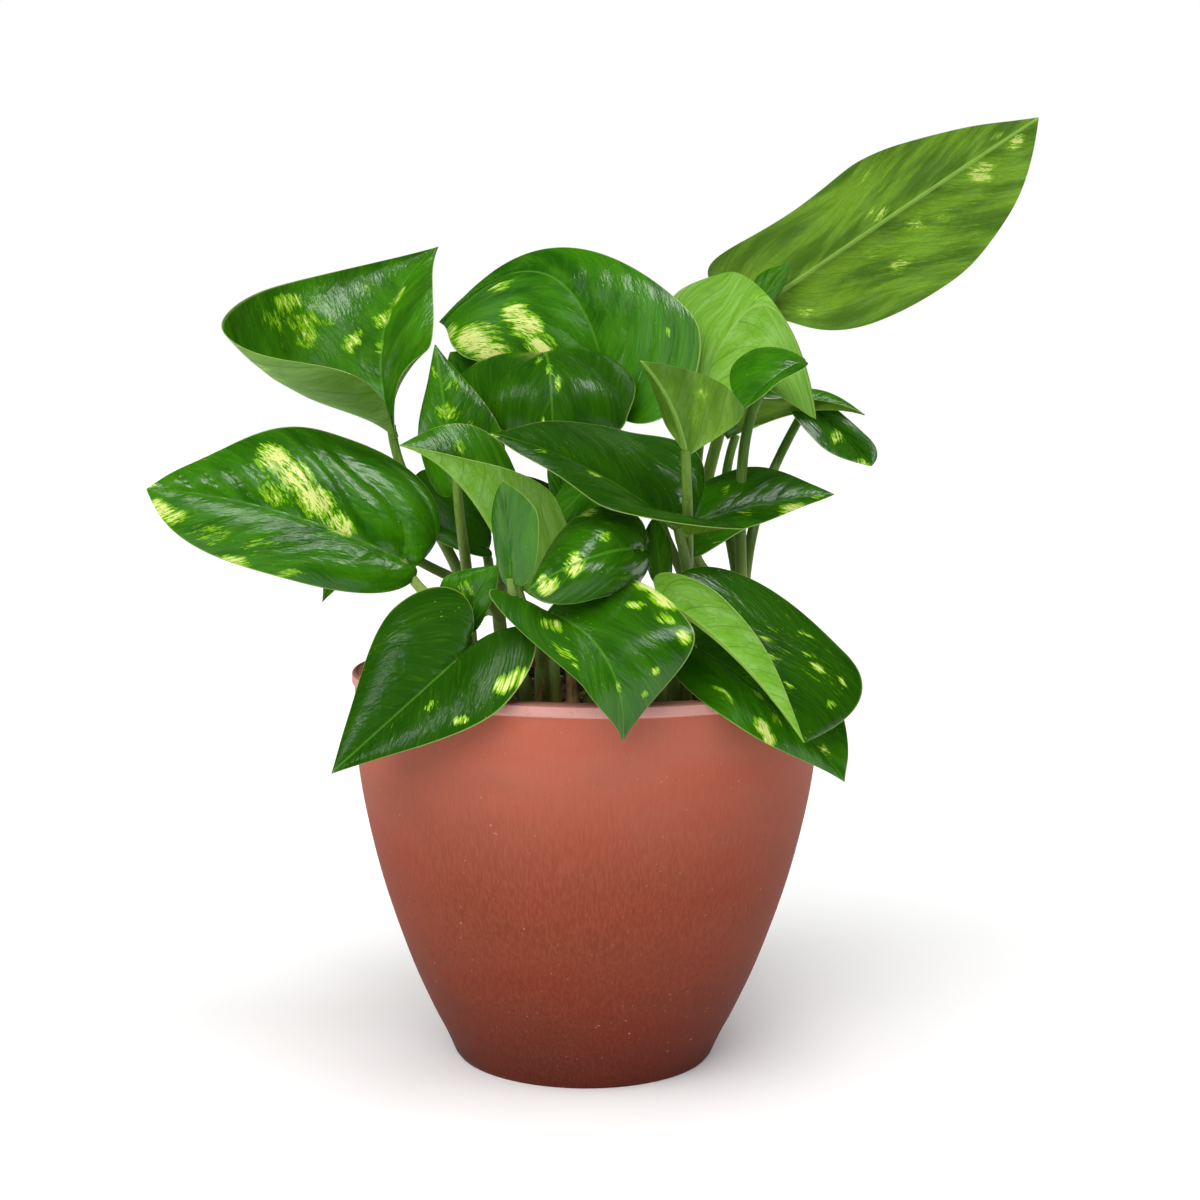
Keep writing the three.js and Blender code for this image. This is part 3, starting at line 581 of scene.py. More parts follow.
leaves = [
    leafRow("low_left", "left_front", (-43, -68, 163), (-88, -78, 122), (0, -1, 0), (-20, 20, 19),
            (20, -22, -10), wide=(0.12, 0.1), lobes=(0.25, (15, 0, 18)), full=(0.3, 0.3), swell=(3, 3),
            tone=(-0.8, 0)),
    leafRow("wide_left", "left_front", (-64, -20, 189), (-158, -45, 218), (-1, 0, 6), (-5, 26, 36),
            (-6, -11, -20.5), wide=(0.26, 0.44), lobes=((14, 2, 2), (4, 1, 2)), full=(0.4, 0.95),
            swell=(5, 3), quilt=(7, 1.3), lean=0.4),
    leafRow("curled_left", "left_front", (-43, -50, 171), (-32, -56, 193), (-1, -1, 2), (5, -4, -2),
            (-14, 8, 2)),
    leafRow("cupped_left", "left", (-74, 5, 236), (-62, 62, 312), (-13, 2, 4), (20, -6, 6),
            (-60, -14, 14), wide=(0.35, 0.3), lobes=((-4, -18, 22), (10.7, -22, 26.6)),
            full=(0.3, (-42, -10, -4)), swell=(2, -6), cup=16, quilt=(1, 1),
            pull=((0, 0, 0), (8, 0, -22)), tone=(0.1, 0.45)),
    leafRow("shaded_left", "left", (-38, 0, 194), (-70, 6, 212), (0, -3, -2), (-4, 22, 21),
            (-1, -12, -4), full=(0.8, 0.6), tone=(-0.6, 0)),
    leafRow("upright_left", "left", (-48, -27, 220), (-57, -19, 271), (0, -4, 0), (20, 5, -3),
            (-12, 15, -3), wide=(0.35, 0.35), full=(0.3, 0.3)),
    leafRow("tip_left", "left_back", (-78, 22, 201), (-103, 12, 172), (2, 8, 4), (-16, -1, 2),
            (4, -8, -2), wide=(0.4, 0.4), full=(0.3, 0.3), tone=(0.2, 0.2)),
    leafRow("dark_left", "left_back", (-35, 22, 235), (-55, 30, 269), (1, 0, 0), (9, 4, 12),
            (-10, 0, -2)),
    leafRow("heart_front", "front", (-14, -80, 179), (12, -99, 138), (7, -11.6, 8), (-8, -2, -8),
            (35, 3, 3), wide=(0.5, 0.3), lobes=((-20, 4, 14), (2, 6, 12)), full=(0.2, 0.22),
            swell=(1, 3), tone=(-0.4, 0)),
    leafRow("upright_front", "front", (-26, -80, 189), (-29, -86, 224), (0, 3, 0), (11, -10, 5),
            (-6, 4, 3), full=(0.4, 0.5), swell=(1, 1), tone=(-0.1, 0.1)),
    leafRow("folded_front", "front", (-24, -48, 184), (-66, -62, 235), (2, -3, 10), (8, 18, 22),
            (28, -12, 3), wide=(0.35, 0.4), full=(0.6, 0.4), tone=(0.1, 0.9)),
    leafRow("round_middle", "middle", (19, -66, 200), (-20, -92, 188), (2, -11, 5), (-1, 20, 15),
            (-1, -3, -14), wide=(0.4, 0.4), full=(0.9, 0.9), swell=(4, 4), tone=(-0.4, 0)),
    leafRow("slim_middle", "middle", (-6, -24, 199), (-15, -22, 231), (2, -1, 0), (4, 2, 4),
            (-6, -2, 4), full=(0.4, 0.4), swell=(1, 1)),
    leafRow("small_middle", "middle", (8, -22, 223), (-16, -36, 202), (3, -1, 6), (-8, 14, 7),
            (7, -4, -10)),
    leafRow("domed_middle", "middle", (-19, 8, 267), (-13, -28, 228), (1, -10, 15), (-26, 6, -17),
            (29, -2, -19), wide=(0.38, 0.42), lobes=((-16, 2, 4), (13, 0, 6)), full=(0.4, 0.5),
            swell=(4, 7), pull=((0, 0, 4), (2, 0, 8)), tone=(-0.6, 0)),
    leafRow("tall_back", "back", (8, 9, 250), (-60, 41, 281), (10, -4, 33), (42, -2, 2), (-20, -6, -34),
            wide=(0.2, 0.6), lobes=((-5, -14, -12), (0, 4, 16)), full=((22, 8, 39), 0.35), swell=(1, 3),
            quilt=(2, 2.4), lean=0.8),
    leafRow("hooded_right", "right_front", (26, -76, 183), (73, -98, 138), (0, -5, 6), (5, -7, 13),
            (42, 33, -4), wide=(0.25, 0.45), lobes=(0.15, (-6, 0, 16)), full=(0.6, 0.95), swell=(2, 3),
            tone=(-0.7, 0.9)),
    leafRow("low_right", "right_front", (36, -58, 166), (90, -74, 120), (0, -10, 6), (-5, -15, -13),
            (24, 30, 9), wide=(0.3, 0.4), lobes=(0.15, 0.15), full=(0.3, 0.5), swell=(3, 3),
            tone=(-0.2, 0)),
    leafRow("twisted_middle", "right_middle", (35, -52, 204), (-34, -88, 240), (0, 2, 5), (1, 29, 20),
            (-1, -18, -8), wide=(0.3, 0.4), lobes=((8, 8, 14), (26, -2, 7)), full=(0.3, 0.3),
            swell=(3, 2), tone=(-0.8, 0)),
    leafRow("sliver_middle", "right_middle", (26, -58, 188), (23, -50, 210), (0, -2, 0), (5, 4, 0),
            (-5, 2, 0), full=(0.6, 0.6), swell=(1, 1), tone=(0.3, 0.3)),
    leafRow("funnel_middle", "right_middle", (34, -60, 232), (17, -72, 265), (2, 0, 2), (-4, 14, 2),
            (22, 14, 8), wide=(0.5, 0.3), lobes=((-3, 4, 6), (6, 3, 6)), full=(0.3, 0.5),
            tone=(0.2, 0.3)),
    leafRow("slim_right", "right", (34, 4, 204), (40, 6, 238), (0, -2, 0), (4, 4, 4), (-5, 0, 4),
            swell=(1, 1)),
    leafRow("flat_right", "right", (38, -12, 205), (94, 6, 216), (1, 3, 2), (-4, -22, -6), (-2, 19, 14),
            wide=(0.4, 0.35), lobes=((-2, -2, -10), 0.15), tone=(-0.3, 0)),
    leafRow("trough_right", "right", (79, -20, 266), (55, -36, 248), (2, 0, 4), (-11, 14, 8),
            (0, -9, -2), wide=(0.4, 0.5), full=(1.3, 0.5), swell=(2, 1), arrive=(17, -20, 4),
            tone=(0, 0.4)),
    leafRow("flared_right", "right", (55, 36, 236), (111, 50, 246), (2, 2, 6), (-2, -8, 6), (-4, 5, 10),
            wide=(0.45, 0.5), lobes=((-9, -2, 9), (-6, 0, 8)), full=(0.5, 0.6), swell=(1, 2)),
    leafRow("drooping_right", "right", (87, 54, 253), (112, 34, 226), (3, 2, -2), (-13, -10, -1),
            (8, 0, 1), full=(0.9, 0.9), swell=(1, 1), tone=(-0.5, 0)),
    leafRow("tall_right", "right_back", (63, 60, 285), (182.9, 75, 367.9), (-1, -8, 0), (-19, 12, 19),
            (13, -8, -34), lobes=((-26, 2, 17), (12, -4, 12)), full=(0.45, 0.9), swell=(3, 3),
            pull=((48, 0, -14), (0, 0, 0)), quilt=(2, 2), tone=(0, 0.1)),
    leafRow("arched_right", "right_back", (42, 8, 253), (85, -6, 245), (4, 19, 39), (-6, 13, 18),
            (-6, -28, -29), wide=(0.3, 0.5), lobes=((-12, 0, 22), (-4, -6, 2)), full=((6, 6, 6), 0.5),
            swell=(2, 3), tone=(0.4, 0.8)),
    leafRow("pointed_right", "right_back", (62, 50, 281), (79, 48, 306), (0, 1, 1), (7, 2, 2),
            (-4, 6, 6), full=(0.3, 0.3), swell=(1, 1), tone=(0.2, 0.2)),
    leafRow("rear_middle", "back", (0, 60, 198), (-8, 118, 165), (0, 8, 10), (28, 2, -4), (-28, 0, -4),
            **rearShape),
    leafRow("rear_left", "left_back", (-30, 52, 216), (-62, 100, 202), (-3, 4, 8), (22, 16, -4),
            (-22, -14, -4), **rearShape),
    leafRow("rear_right", "right_back", (28, 56, 215), (40, 112, 192), (2, 6, 9), (27, -5, -4),
            (-26, 6, -4), **rearShape),
    leafRow("rear_high", "back", (-2, 50, 262), (0, 108, 252), (0, 4, 10), (27, 0, -6), (-27, 0, -6),
            **rearShape),
    leafRow("rear_low_right", "right_back", (54, 62, 168), (72, 104, 140), (3, 7, 7), (20, -9, -4),
            (-20, 10, -2), **rearShape),
    leafRow("rear_low_left", "left_back", (-46, 62, 168), (-70, 100, 140), (-4, 6, 7), (20, 12, -3),
            (-20, -12, -3), **rearShape),
]

# Yellow-green marks, in hundredths: how far along the blade, how far across it from -100 at the right
# margin to 100 at the left, how far each mark spreads both ways, and how dense it is.
marks = {
    "wide_left": [
        (45, -20, 15, 60, 26), (70, 80, 25, 40, 24), (48, -60, 6, 18, 90), (42, -40, 6, 16, 90),
        (36, -20, 6, 14, 95), (28, -5, 5, 10, 85), (52, -20, 6, 20, 50), (98, -70, 3, 20, 95),
        (88, 90, 5, 25, 95), (80, 80, 5, 20, 80), (60, 75, 10, 20, 40), (40, 65, 8, 20, 35),
        (40, 100, 7, 10, 80), (20, 90, 2, 10, 50),
    ],
    "cupped_left": [
        (45, 60, 20, 40, 26), (50, 80, 5, 10, 60), (45, 60, 6, 10, 50), (40, 75, 8, 12, 40),
        (38, 50, 5, 8, 55), (48, 45, 3, 5, 55), (42, 20, 5, 6, 65), (65, -15, 5, 15, 70),
        (55, 0, 5, 10, 70), (40, 0, 4, 5, 55), (15, 80, 2, 10, 55), (70, 45, 4, 15, 40),
    ],
    "tall_back": [
        (40, 45, 8, 10, 100), (30, 45, 7, 10, 100), (20, 45, 3, 10, 90), (45, 85, 14, 12, 100),
        (25, 85, 6, 12, 100), (70, 95, 10, 10, 80), (65, 25, 6, 10, 60), (40, 70, 12, 8, 50),
        (20, -70, 1, 3, 60),
    ],
    "domed_middle": [
        (40, 0, 50, 80, 18), (35, -10, 8, 5, 50), (50, 0, 8, 5, 50), (60, 10, 6, 5, 50),
        (80, -30, 5, 6, 60),
    ],
    "upright_left": [
        (70, -45, 6, 35, 55), (50, 0, 8, 35, 45), (35, -40, 7, 20, 40), (80, 25, 6, 40, 45),
    ],
    "twisted_middle": [(45, 25, 3, 14, 80), (70, 50, 3, 20, 40), (97, 80, 5, 30, 60)],
    "folded_front": [(45, -35, 8, 20, 35), (60, -55, 5, 15, 50)],
    "round_middle": [
        (65, 5, 7, 22, 100), (85, 45, 7, 32, 100), (90, -5, 5, 25, 70), (35, -25, 6, 10, 50),
        (35, -95, 8, 20, 60),
    ],
    "curled_left": [(45, 30, 15, 30, 40)],
    "heart_front": [
        (30, 50, 25, 50, 20), (35, -60, 35, 50, 24), (13, 100, 1.5, 10, 100), (16, 95, 1.5, 10, 100),
        (16, 65, 1, 10, 60), (20, 80, 2, 8, 60), (30, 90, 5, 6, 95), (55, 70, 3, 6, 80),
        (70, 0, 3, 10, 80), (15, -35, 2, 20, 60), (20, -70, 3, 15, 50), (70, 70, 3, 10, 50),
    ],
    "low_left": [
        (30, 70, 30, 40, 22), (60, 10, 30, 40, 20), (12, 95, 1, 10, 100), (13, 85, 1, 8, 90),
        (32, 85, 3, 6, 100), (35, 40, 4, 10, 50),
    ],
    "hooded_right": [
        (40, 60, 40, 50, 26), (20, 75, 1, 5, 70), (33, 35, 3, 4, 60), (50, 60, 4, 4, 85),
        (50, 25, 3, 4, 60), (70, 25, 4, 4, 60), (75, 70, 3, 6, 60), (55, 80, 3, 3, 80),
        (40, 60, 3, 3, 60),
    ],
    "low_right": [
        (50, 0, 40, 100, 22), (40, -80, 5, 10, 100), (45, -90, 4, 10, 80), (40, -20, 3, 10, 70),
        (20, -70, 3, 10, 50), (50, -50, 4, 12, 50), (83, 15, 4, 12, 75),
    ],
    "funnel_middle": [(40, 65, 8, 15, 50), (30, 30, 10, 15, 35)],
    "flat_right": [
        (60, -95, 10, 30, 85), (20, 45, 2, 18, 40), (30, -45, 6, 35, 40), (85, -55, 6, 30, 60),
    ],
    "drooping_right": [(45, -35, 8, 35, 60), (90, -70, 8, 40, 60)],
    "upright_front": [(80, 0, 6, 30, 40)],
    "tall_right": [
        (50, 50, 35, 50, 30), (50, -40, 30, 40, 20), (90, 30, 3, 20, 95), (76, 25, 4, 20, 85),
        (45, -15, 2, 10, 75), (40, -30, 2, 10, 50), (50, 25, 3, 10, 60), (57, 40, 3, 12, 50),
        (35, 25, 3, 10, 50), (35, 50, 3, 8, 70), (12, 50, 2, 14, 60), (33, -80, 3, 8, 50),
        (84, -50, 3, 20, 50),
    ],
    "arched_right": [(42, -50, 5, 25, 45)],
    "flared_right": [(40, 0, 6, 40, 30)],
    "rear_middle": [(40, 40, 8, 20, 60), (60, -50, 8, 20, 50)],
    "rear_high": [(50, -40, 10, 20, 70), (30, 60, 30, 40, 25)],
    "rear_left": [(40, 50, 40, 50, 25)],
    "rear_low_right": [(50, 30, 6, 30, 60)],
}

blade = {
    "rowsBack": 32,
    "rowsFront": 52,
    "across": 24,
    "shortLength": 45,
    "shortShare": 0.6,  # share of those that a shorter blade has
    "fullLength": 80,  # a blade below this has smaller veins and waves
    "rounding": 0.16,
    "flankAt": 0.33,  # the margin's handles, from the widest place to the tip
    "neckAt": 0.72,
    "edgeCell": 0.015,  # the last column's share of a half
    "cupEnd": 0.5,  # how far along a cup ends
    "thickness": 0.7,
    "thinning": 0.65,  # the share of it that the margin lacks
    "endHalf": 0.2,  # half of it at the base and tip
    "veinGap": 11,
    "quilt": 0.3,
    "groove": 0.5,
    "grooveHalf": 1.3,
    "ridge": 0.55,
    "ridgeHalf": 1.1,
    "wave": 0.9,
    "waveLength": 9.0,
    "markGrowth": 1.35,
}


def shareOf(stated, whole):
    return np.array(stated, float) if isinstance(stated, tuple) else whole * stated


def midribPoints(leaf):
    base, tip, bend = (np.array(leaf[key], float) for key in ("base", "tip", "bend"))
    return base, (base + tip) / 2 + 2 * bend, tip


def marginPoints(leaf, side, t):
    # side 0 is the right margin; t runs 0 to 1 up to the widest place and on to 2 at the tip
    midrib = midribPoints(leaf)
    base, handle, tip = midrib
    reach = np.array(leaf["left" if side else "right"], float)
    wide = leaf["wide"][side]
    lobe = shareOf(leaf["lobes"][side], -2 * (handle - base))
    flankAt, neckAt = (wide + blade[key] * (1 - wide) for key in ("flankAt", "neckAt"))
    widest = bezier(midrib, [wide])[0] + reach
    flank = bezier(midrib, [flankAt])[0] + reach
    neck = bezier(midrib, [neckAt])[0] + shareOf(leaf["full"][side], reach)
    shoulder = base + lobe + reach + leaf["pull"][side]
    back = bezier((base, base + 1.4 * lobe + 0.25 * reach, shoulder, widest), np.minimum(t, 1))
    front = bezier((widest, flank, neck, tip), np.maximum(t - 1, 0))
    margin = np.where((t <= 1)[:, None], back, front)
    # rounds the corner at the widest place
    for _ in range(int(blade["rounding"] * len(t))):
        margin[1:-1] = 0.25 * margin[:-2] + 0.5 * margin[1:-1] + 0.25 * margin[2:]
    return margin, reach


def bladeSheet(leaf):
    # the middle surface as rows from base to tip and columns from the right margin to the left
    midrib = midribPoints(leaf)
    chord = midrib[2] - midrib[0]
    length = np.linalg.norm(chord)
    share = 1 if length > blade["shortLength"] else blade["shortShare"]
    back, front, cells = (int(blade[key] * share) for key in ("rowsBack", "rowsFront", "across"))
    t = np.concatenate([np.linspace(0, 1, back + 1), 1 + np.linspace(0, 1, front + 1)[1:]])
    turn = 0.12 + 0.1 * sum(leaf["wide"])  # how far along the rows pass the widest place
    along = np.where(t <= 1, turn * t ** 1.2, turn + (1 - turn) * np.maximum(t - 1, 0) ** 1.1)
    middle = bezier(midrib, along)
    cell = blade["edgeCell"]
    inner = np.linspace(0, 1, cells + 1)[1:-1] ** 1.15 * (1 - 2 * cell) + cell
    columns = np.concatenate([[0, cell], inner, [1 - cell, 1]])
    u = columns[None, :, None]
    halves, widths = [], []
    for side in (0, 1):
        edge, reach = marginPoints(leaf, side, t)
        up = np.cross(chord, reach) if side else np.cross(reach, chord)
        up /= np.linalg.norm(up)
        widths.append(np.linalg.norm(edge - middle, axis=1)[:, None])
        spread = np.minimum(1, widths[-1] / np.linalg.norm(reach))
        sag = leaf["cup"] * side * np.clip(1 - along / blade["cupEnd"], 0, 1)
        bulge = (leaf["swell"][side] - sag[:, None]) * spread
        half = middle[:, None] * (1 - u) + edge[:, None] * u
        halves.append(half + up * (4 * u * (1 - u) * bulge[..., None]))
    points = np.concatenate([halves[0][:, :0:-1], halves[1]], axis=1)
    across = np.concatenate([-columns[:0:-1], columns])
    return points, along, across, np.where(across[None, :] < 0, *widths), length


def sheetNormals(points):
    normals = np.cross(np.gradient(points, axis=0), np.gradient(points, axis=1))
    size = np.linalg.norm(normals, axis=2, keepdims=True)
    normals = normals / np.maximum(size, 1e-9)
    for end, near in ((0, 1), (-1, -2)):
        mean = normals[near].sum(axis=0)
        normals[end] = mean / max(np.linalg.norm(mean), 1e-9)
    return normals


def gridFaces(rows, columns):
    # the first and the last row are one point each
    number = np.arange(rows * columns).reshape(rows, columns)
    number[0, :] = number[0, 0]
    number[-1, :] = number[-1, 0]
    corners = (number[:-1, :-1], number[1:, :-1], number[1:, 1:], number[:-1, 1:])
    quads = np.stack(corners, axis=2).reshape(-1, 4).tolist()
    return [[n for k, n in enumerate(quad) if n != quad[k - 1]] for quad in quads]


def rimFaces(faces, count):
    # joins the upper and lower sheets round the margin
    loose = set()
    for face in faces:
        for a, b in zip(face, face[1:] + face[:1]):
            if (b, a) in loose:
                loose.remove((b, a))
            else:
                loose.add((a, b))
    return [[b, a, a + count, b + count] for a, b in sorted(loose)]


def creamField(name, along, across):
    field = np.zeros((len(along), len(across)))
    for mark in marks.get(name, []):
        middle, offset, spreadAlong, spreadAcross, density = (number / 100 for number in mark)
        away = ((along[:, None] - middle) / spreadAlong) ** 2
        away = (away + ((across[None, :] - offset) / spreadAcross) ** 2) / blade["markGrowth"]
        field = np.maximum(field, density * np.minimum(1, 1.25 * np.exp(-away)))
    return field


def leafMesh(leaf, seed):
    points, along, across, widths, length = bladeSheet(leaf)
    normals = sheetNormals(points)
    cream = creamField(leaf["name"], along, across)
    along, out, side = along[:, None], np.abs(across)[None, :], np.sign(across)[None, :]
    offset = out * widths
    size = min(1, length / blade["fullLength"])
    # distance along the midrib at which the side vein through each point starts
    start = along * length - leaf["lean"] * offset * (1 + 0.5 * out)
    phase = start / (blade["veinGap"] * (0.55 + 0.45 * size)) + 0.25 * side + seed * 0.37
    swell = np.abs(np.sin(math.pi * phase)) ** 0.6 - 0.65
    quilt = np.where(side < 0, *leaf["quilt"]) * blade["quilt"] * (0.4 + 0.6 * size)
    height = quilt * swell * np.minimum(1, offset / 4) * (1 - out ** 4)
    height -= blade["groove"] * size * np.exp(-(offset / blade["grooveHalf"]) ** 2) * (1 - along)
    ripple = np.sin(along * length / blade["waveLength"] + 2.1 * seed + side) * out ** 3
    height += blade["wave"] * size * ripple * np.minimum(1, widths / 12)
    height[0] = height[-1] = 0
    half = 0.5 * blade["thickness"] * (1 - blade["thinning"] * out ** 4) * np.ones_like(offset)
    ridge = np.exp(-(offset / blade["ridgeHalf"]) ** 2) * (1 - along) ** 0.8
    under = half + blade["ridge"] * size * ridge
    half[0] = half[-1] = under[0] = under[-1] = blade["endHalf"]
    upper = points + normals * (height + half)[..., None]
    lower = points + normals * (height - under)[..., None]
    faces = gridFaces(*offset.shape)
    count = offset.size
    reverse = [[n + count for n in reversed(face)] for face in faces]
    faces = faces + reverse + rimFaces(faces, count)
    vertices = np.concatenate([upper.reshape(-1, 3), lower.reshape(-1, 3)])
    fields = (start, side * offset, cream, out + 0 * offset, phase)
    return vertices, faces, [np.tile(field.ravel(), 2) for field in fields]


leafPaint = {
    # dark is painted shade: in the creases along the veins, and partly on the leaves with a tone below
    # 0
    "dark": (26, 68, 2),
    "deep": (28, 84, 4),
    "fresh": (56, 124, 5),
    "light": (92, 154, 22),  # upper side of the leaves with the highest tone
    "lime": (136, 196, 22),
    "cream": (228, 234, 140),
    "midrib": (84, 144, 36),
    "margin": (160, 190, 96),
    # the undersides' greens are paler than the upper side's: partly their own colour, partly painted
    # light shining through the leaf
    "underDeep": (56, 88, 8),
    "underLight": (106, 146, 32),
    "underPale": (118, 178, 48),  # underside of the leaves with the highest tone
    # a whitish painted sheen on the undersides
    "underHaze": (180, 220, 138),
    "underVein": (44, 92, 12),
    "underRib": (146, 186, 84),
}

leafGloss = {
    # roughness and specular level
    "upper": (0.18, 0.36),
    "under": (0.55, 0.1),
}


def leafMaterial(side, shade):
    material, tree, shader = newMaterial("pothosLeaf_" + side)
    names = ("veinPlace", "leafLook", "veinPhase")
    fields = [put(tree, "ShaderNodeAttribute", attribute_name=name).outputs for name in names]
    place, look, phase = fields[0]["Vector"], fields[1]["Vector"], fields[2]["Fac"]
    cream, tone, margin = put(tree, "ShaderNodeSeparateXYZ", {0: look}).outputs
    offset = calc("ABSOLUTE", axis(place, 1))
    nearVein = calc("PINGPONG", phase, 0.5)
    inputs = {"Vector": place, "Scale": 0.32}
    net = first(tree, "ShaderNodeTexVoronoi", inputs, feature="DISTANCE_TO_EDGE")
    vein = calc("MAXIMUM", ramp(nearVein, 0, 0.045, 1, 0), ramp(net, 0, 0.1, 0.45, 0))
    broad = noise(place, 0.05, 3, 0.55)
    patch = noise(place, 0.16, 3, 0.5)
    fibre = noise(place, 0.9, 3, 0.55, (1, 0.16, 1))
    # marks run along the side veins: streaks broken up by small flecks
    streak = noise(place, 0.42, 5, 0.7, (1, 0.36, 1))
    fleck = noise(place, 1.3, 3, 0.6, (1, 0.6, 1))
    mixed = calc("ADD", times(streak, 0.6), times(fleck, 0.4))
    ragged = calc("MULTIPLY_ADD", mixed, 3.4, -0.86)
    reach = times(calc("POWER", cream, 0.6), ragged)
    pale = ramp(reach, 0.68, 0.77, 0, 0.94)
    lime = ramp(reach, 0.46, 0.6, 0, 0.9)
    if side == "upper":
        speck = calc("ADD", noise(place, 1.4, 1, 0.5), times(broad, 0.3))
        dots = ramp(speck, 0.93, 0.97, 0, 0.5)
        colour = coats("deep", [
            (ramp(broad, 0.3, 0.65), "fresh"),
            (ramp(patch, 0.42, 0.75, 0, 0.25), "light"),
            (tone, "light"),
            # a tone below 0 darkens the upper side: partly its own darker green, partly painted shade
            (times(tone, -1.0), "dark"),
            (ramp(fibre, 0.5, 0.8, 0, 0.1), "lime"),
            # painted shade in the creases along the side veins and the fine net between them
            (times(vein, 0.35), "dark"),
            (lime, "lime"),
            (calc("MAXIMUM", pale, dots), "cream"),
            (ramp(offset, 0.3, 0.8, 0.6, 0), "midrib"),
            (ramp(margin, 0.98, 0.999, 0, 0.7), "margin"),
        ], shade)
    else:
        # a painted sheen in whitish patches, strongest on the palest undersides
        sheenShare = calc("MULTIPLY_ADD", tone, 0.34, 0.02)
        colour = coats("underDeep", [
            (ramp(broad, 0.36, 0.64), "underLight"),
            (tone, "underPale"),
            (times(ramp(patch, 0.35, 0.75), sheenShare), "underHaze"),
            (ramp(fibre, 0.5, 0.75, 0, 0.2), "underVein"),
            (times(vein, 0.45), "underVein"),
            (times(lime, 0.35), "lime"),
            (times(pale, 0.6), "cream"),
            (ramp(offset, 0.4, 0.9, 0.6, 0), "underRib"),
        ], shade)
    puff = calc("POWER", times(nearVein, 2.0), 0.5)
    relief = calc("ADD", times(fleck, 0.2), times(patch, 0.6))
    for part in (times(puff, 0.12), ramp(net, 0.0, 0.4, 0, 0.12)):
        relief = calc("ADD", relief, part)
    roughness, level = leafGloss[side]
    feed(shader, BaseColor=colour, Normal=bump(relief, 0.001, 0.6))
    feed(shader, Roughness=roughness, SpecularIORLevel=level)
    return material


leafFinishes = [leafMaterial(side, leafPaint) for side in leafGloss]


def leafPiece(leaf, seed):
    vertices, faces, (start, offset, cream, margin, phase) = leafMesh(leaf, seed)
    piece = meshObject("leaf_" + leaf["name"], vertices, faces)
    mesh = piece.data
    half = len(vertices) // 2  # the upper sheet's points come first
    tone = np.repeat(np.array(leaf["tone"], float), half)
    # each leaf has its own part of the noise
    addAttribute(mesh, "veinPlace", np.stack([start, offset, np.full(len(start), 37.0 * seed)], 1))
    addAttribute(mesh, "leafLook", np.stack([cream, tone, margin], 1))
    addAttribute(mesh, "veinPhase", phase)
    work = bmesh.new()
    work.from_mesh(mesh)
    bmesh.ops.delete(work, geom=[v for v in work.verts if not v.link_faces], context="VERTS")
    work.to_mesh(mesh)
    work.free()
    sharpEdges(mesh, 50)
    for finish in leafFinishes:
        mesh.materials.append(finish)
    mesh.polygons.foreach_set("material_index", [int(min(face) >= half) for face in faces])
    return piece


leafPieces = {name: [] for name in cuttings}
for number, leaf in enumerate(leaves):
    leafPieces[leaf["on"]].append(leafPiece(leaf, number + 1))
print(len(leaves), "leaves are laid out")


stalk = {
    "stemRadius": 2.8,
    "stemFoot": 112,
    "stemBend": 142.5,  # height up to which a stem stands straight
    "petioleFoot": 2.4,
    "petioleTop": 1.75,
    "firstLeaf": 0.84,  # petioles leave the stem from here on
    "leafSpan": 0.12,
    "meets": 0.05,  # how far along the midrib a petiole ends
    "sides": 12,
    "step": 2.5,
}


def stalkTree():
    # sweeps a round section along every spline, as wide as the spline's radius
    tree, given = newTree("stalkSweep", Sides="Int", Step="Float")
    inputs = {"Curve": given["Geometry"], "Length": given["Step"]}
    even = first(tree, "GeometryNodeResampleCurve", inputs, mode="LENGTH")
    inputs = {"Resolution": given["Sides"], "Radius": 1.0}
    section = first(tree, "GeometryNodeCurvePrimitiveCircle", inputs)
    width = first(tree, "GeometryNodeInputRadius")
    inputs = {"Curve": even, "Profile Curve": section, "Scale": width, "Fill Caps": True}
    tube = first(tree, "GeometryNodeCurveToMesh", inputs)
    smooth = first(tree, "GeometryNodeSetShadeSmooth", {"Geometry": tube, "Shade Smooth": True})
    return closeTree(tree, smooth, given["Material"])


def stalkMaterial():
    material, tree, shader = newMaterial("pothosStalk")
    place = objectPlace(tree)
    height = axis(place, 2)
    lines = ramp(noise(place, 700, 3, 0.6, (1, 1, 0.08)), 0.45, 0.7, 0, 0.4)
    colour = coats((70, 114, 24), [
        (ramp(noise(place, 30, 3, 0.5), 0.3, 0.7), (122, 160, 62)),
        (lines, (48, 88, 18)),
        # paler below, a painted light that lifts the shade low in the plant, and brownish just over the
        # mix
        (ramp(height, 0.15, 0.23, 0.7, 0), (160, 182, 96)),
        (ramp(height, 0.136, 0.16, 0.6, 0), (134, 126, 70)),
    ])
    feed(shader, BaseColor=colour, Roughness=0.45, Normal=bump(lines, 0.0003, 0.5))
    feed(shader, SpecularIORLevel=0.25)
    return material


sweepTree = stalkTree()
pothosStalk = stalkMaterial()


def petioleLine(leaf, root):
    base, handle, tip = midribPoints(leaf)
    end = bezier((base, handle, tip), [stalk["meets"]])[0]
    rise = end[2] - root[2]
    ahead = (handle - base) / np.linalg.norm(handle - base)
    arrive = np.array(leaf["arrive"], float) if leaf["arrive"] else ahead + (0, 0, 2)
    arrive *= (0.35 * rise + 6) / np.linalg.norm(arrive)
    return bezier((root, root + (0, 0, 0.4 * rise + 4), end - arrive, end), np.linspace(0, 1, 24))


def sweptPiece(name, lines, material):
    # one tube along each line of points and radii
    curve = bpy.data.curves.new(name, "CURVE")
    curve.dimensions = "3D"
    for points, radii in lines:
        spline = curve.splines.new("POLY")
        spline.points.add(len(points) - 1)
        for point, place, radius in zip(spline.points, points, radii):
            point.co = (*(np.array(place) * mm), 1)
            point.radius = radius * mm
    values = {"Sides": stalk["sides"], "Step": stalk["step"] * mm, "Material": material}
    return grow(newObject(name, curve), sweepTree, values)


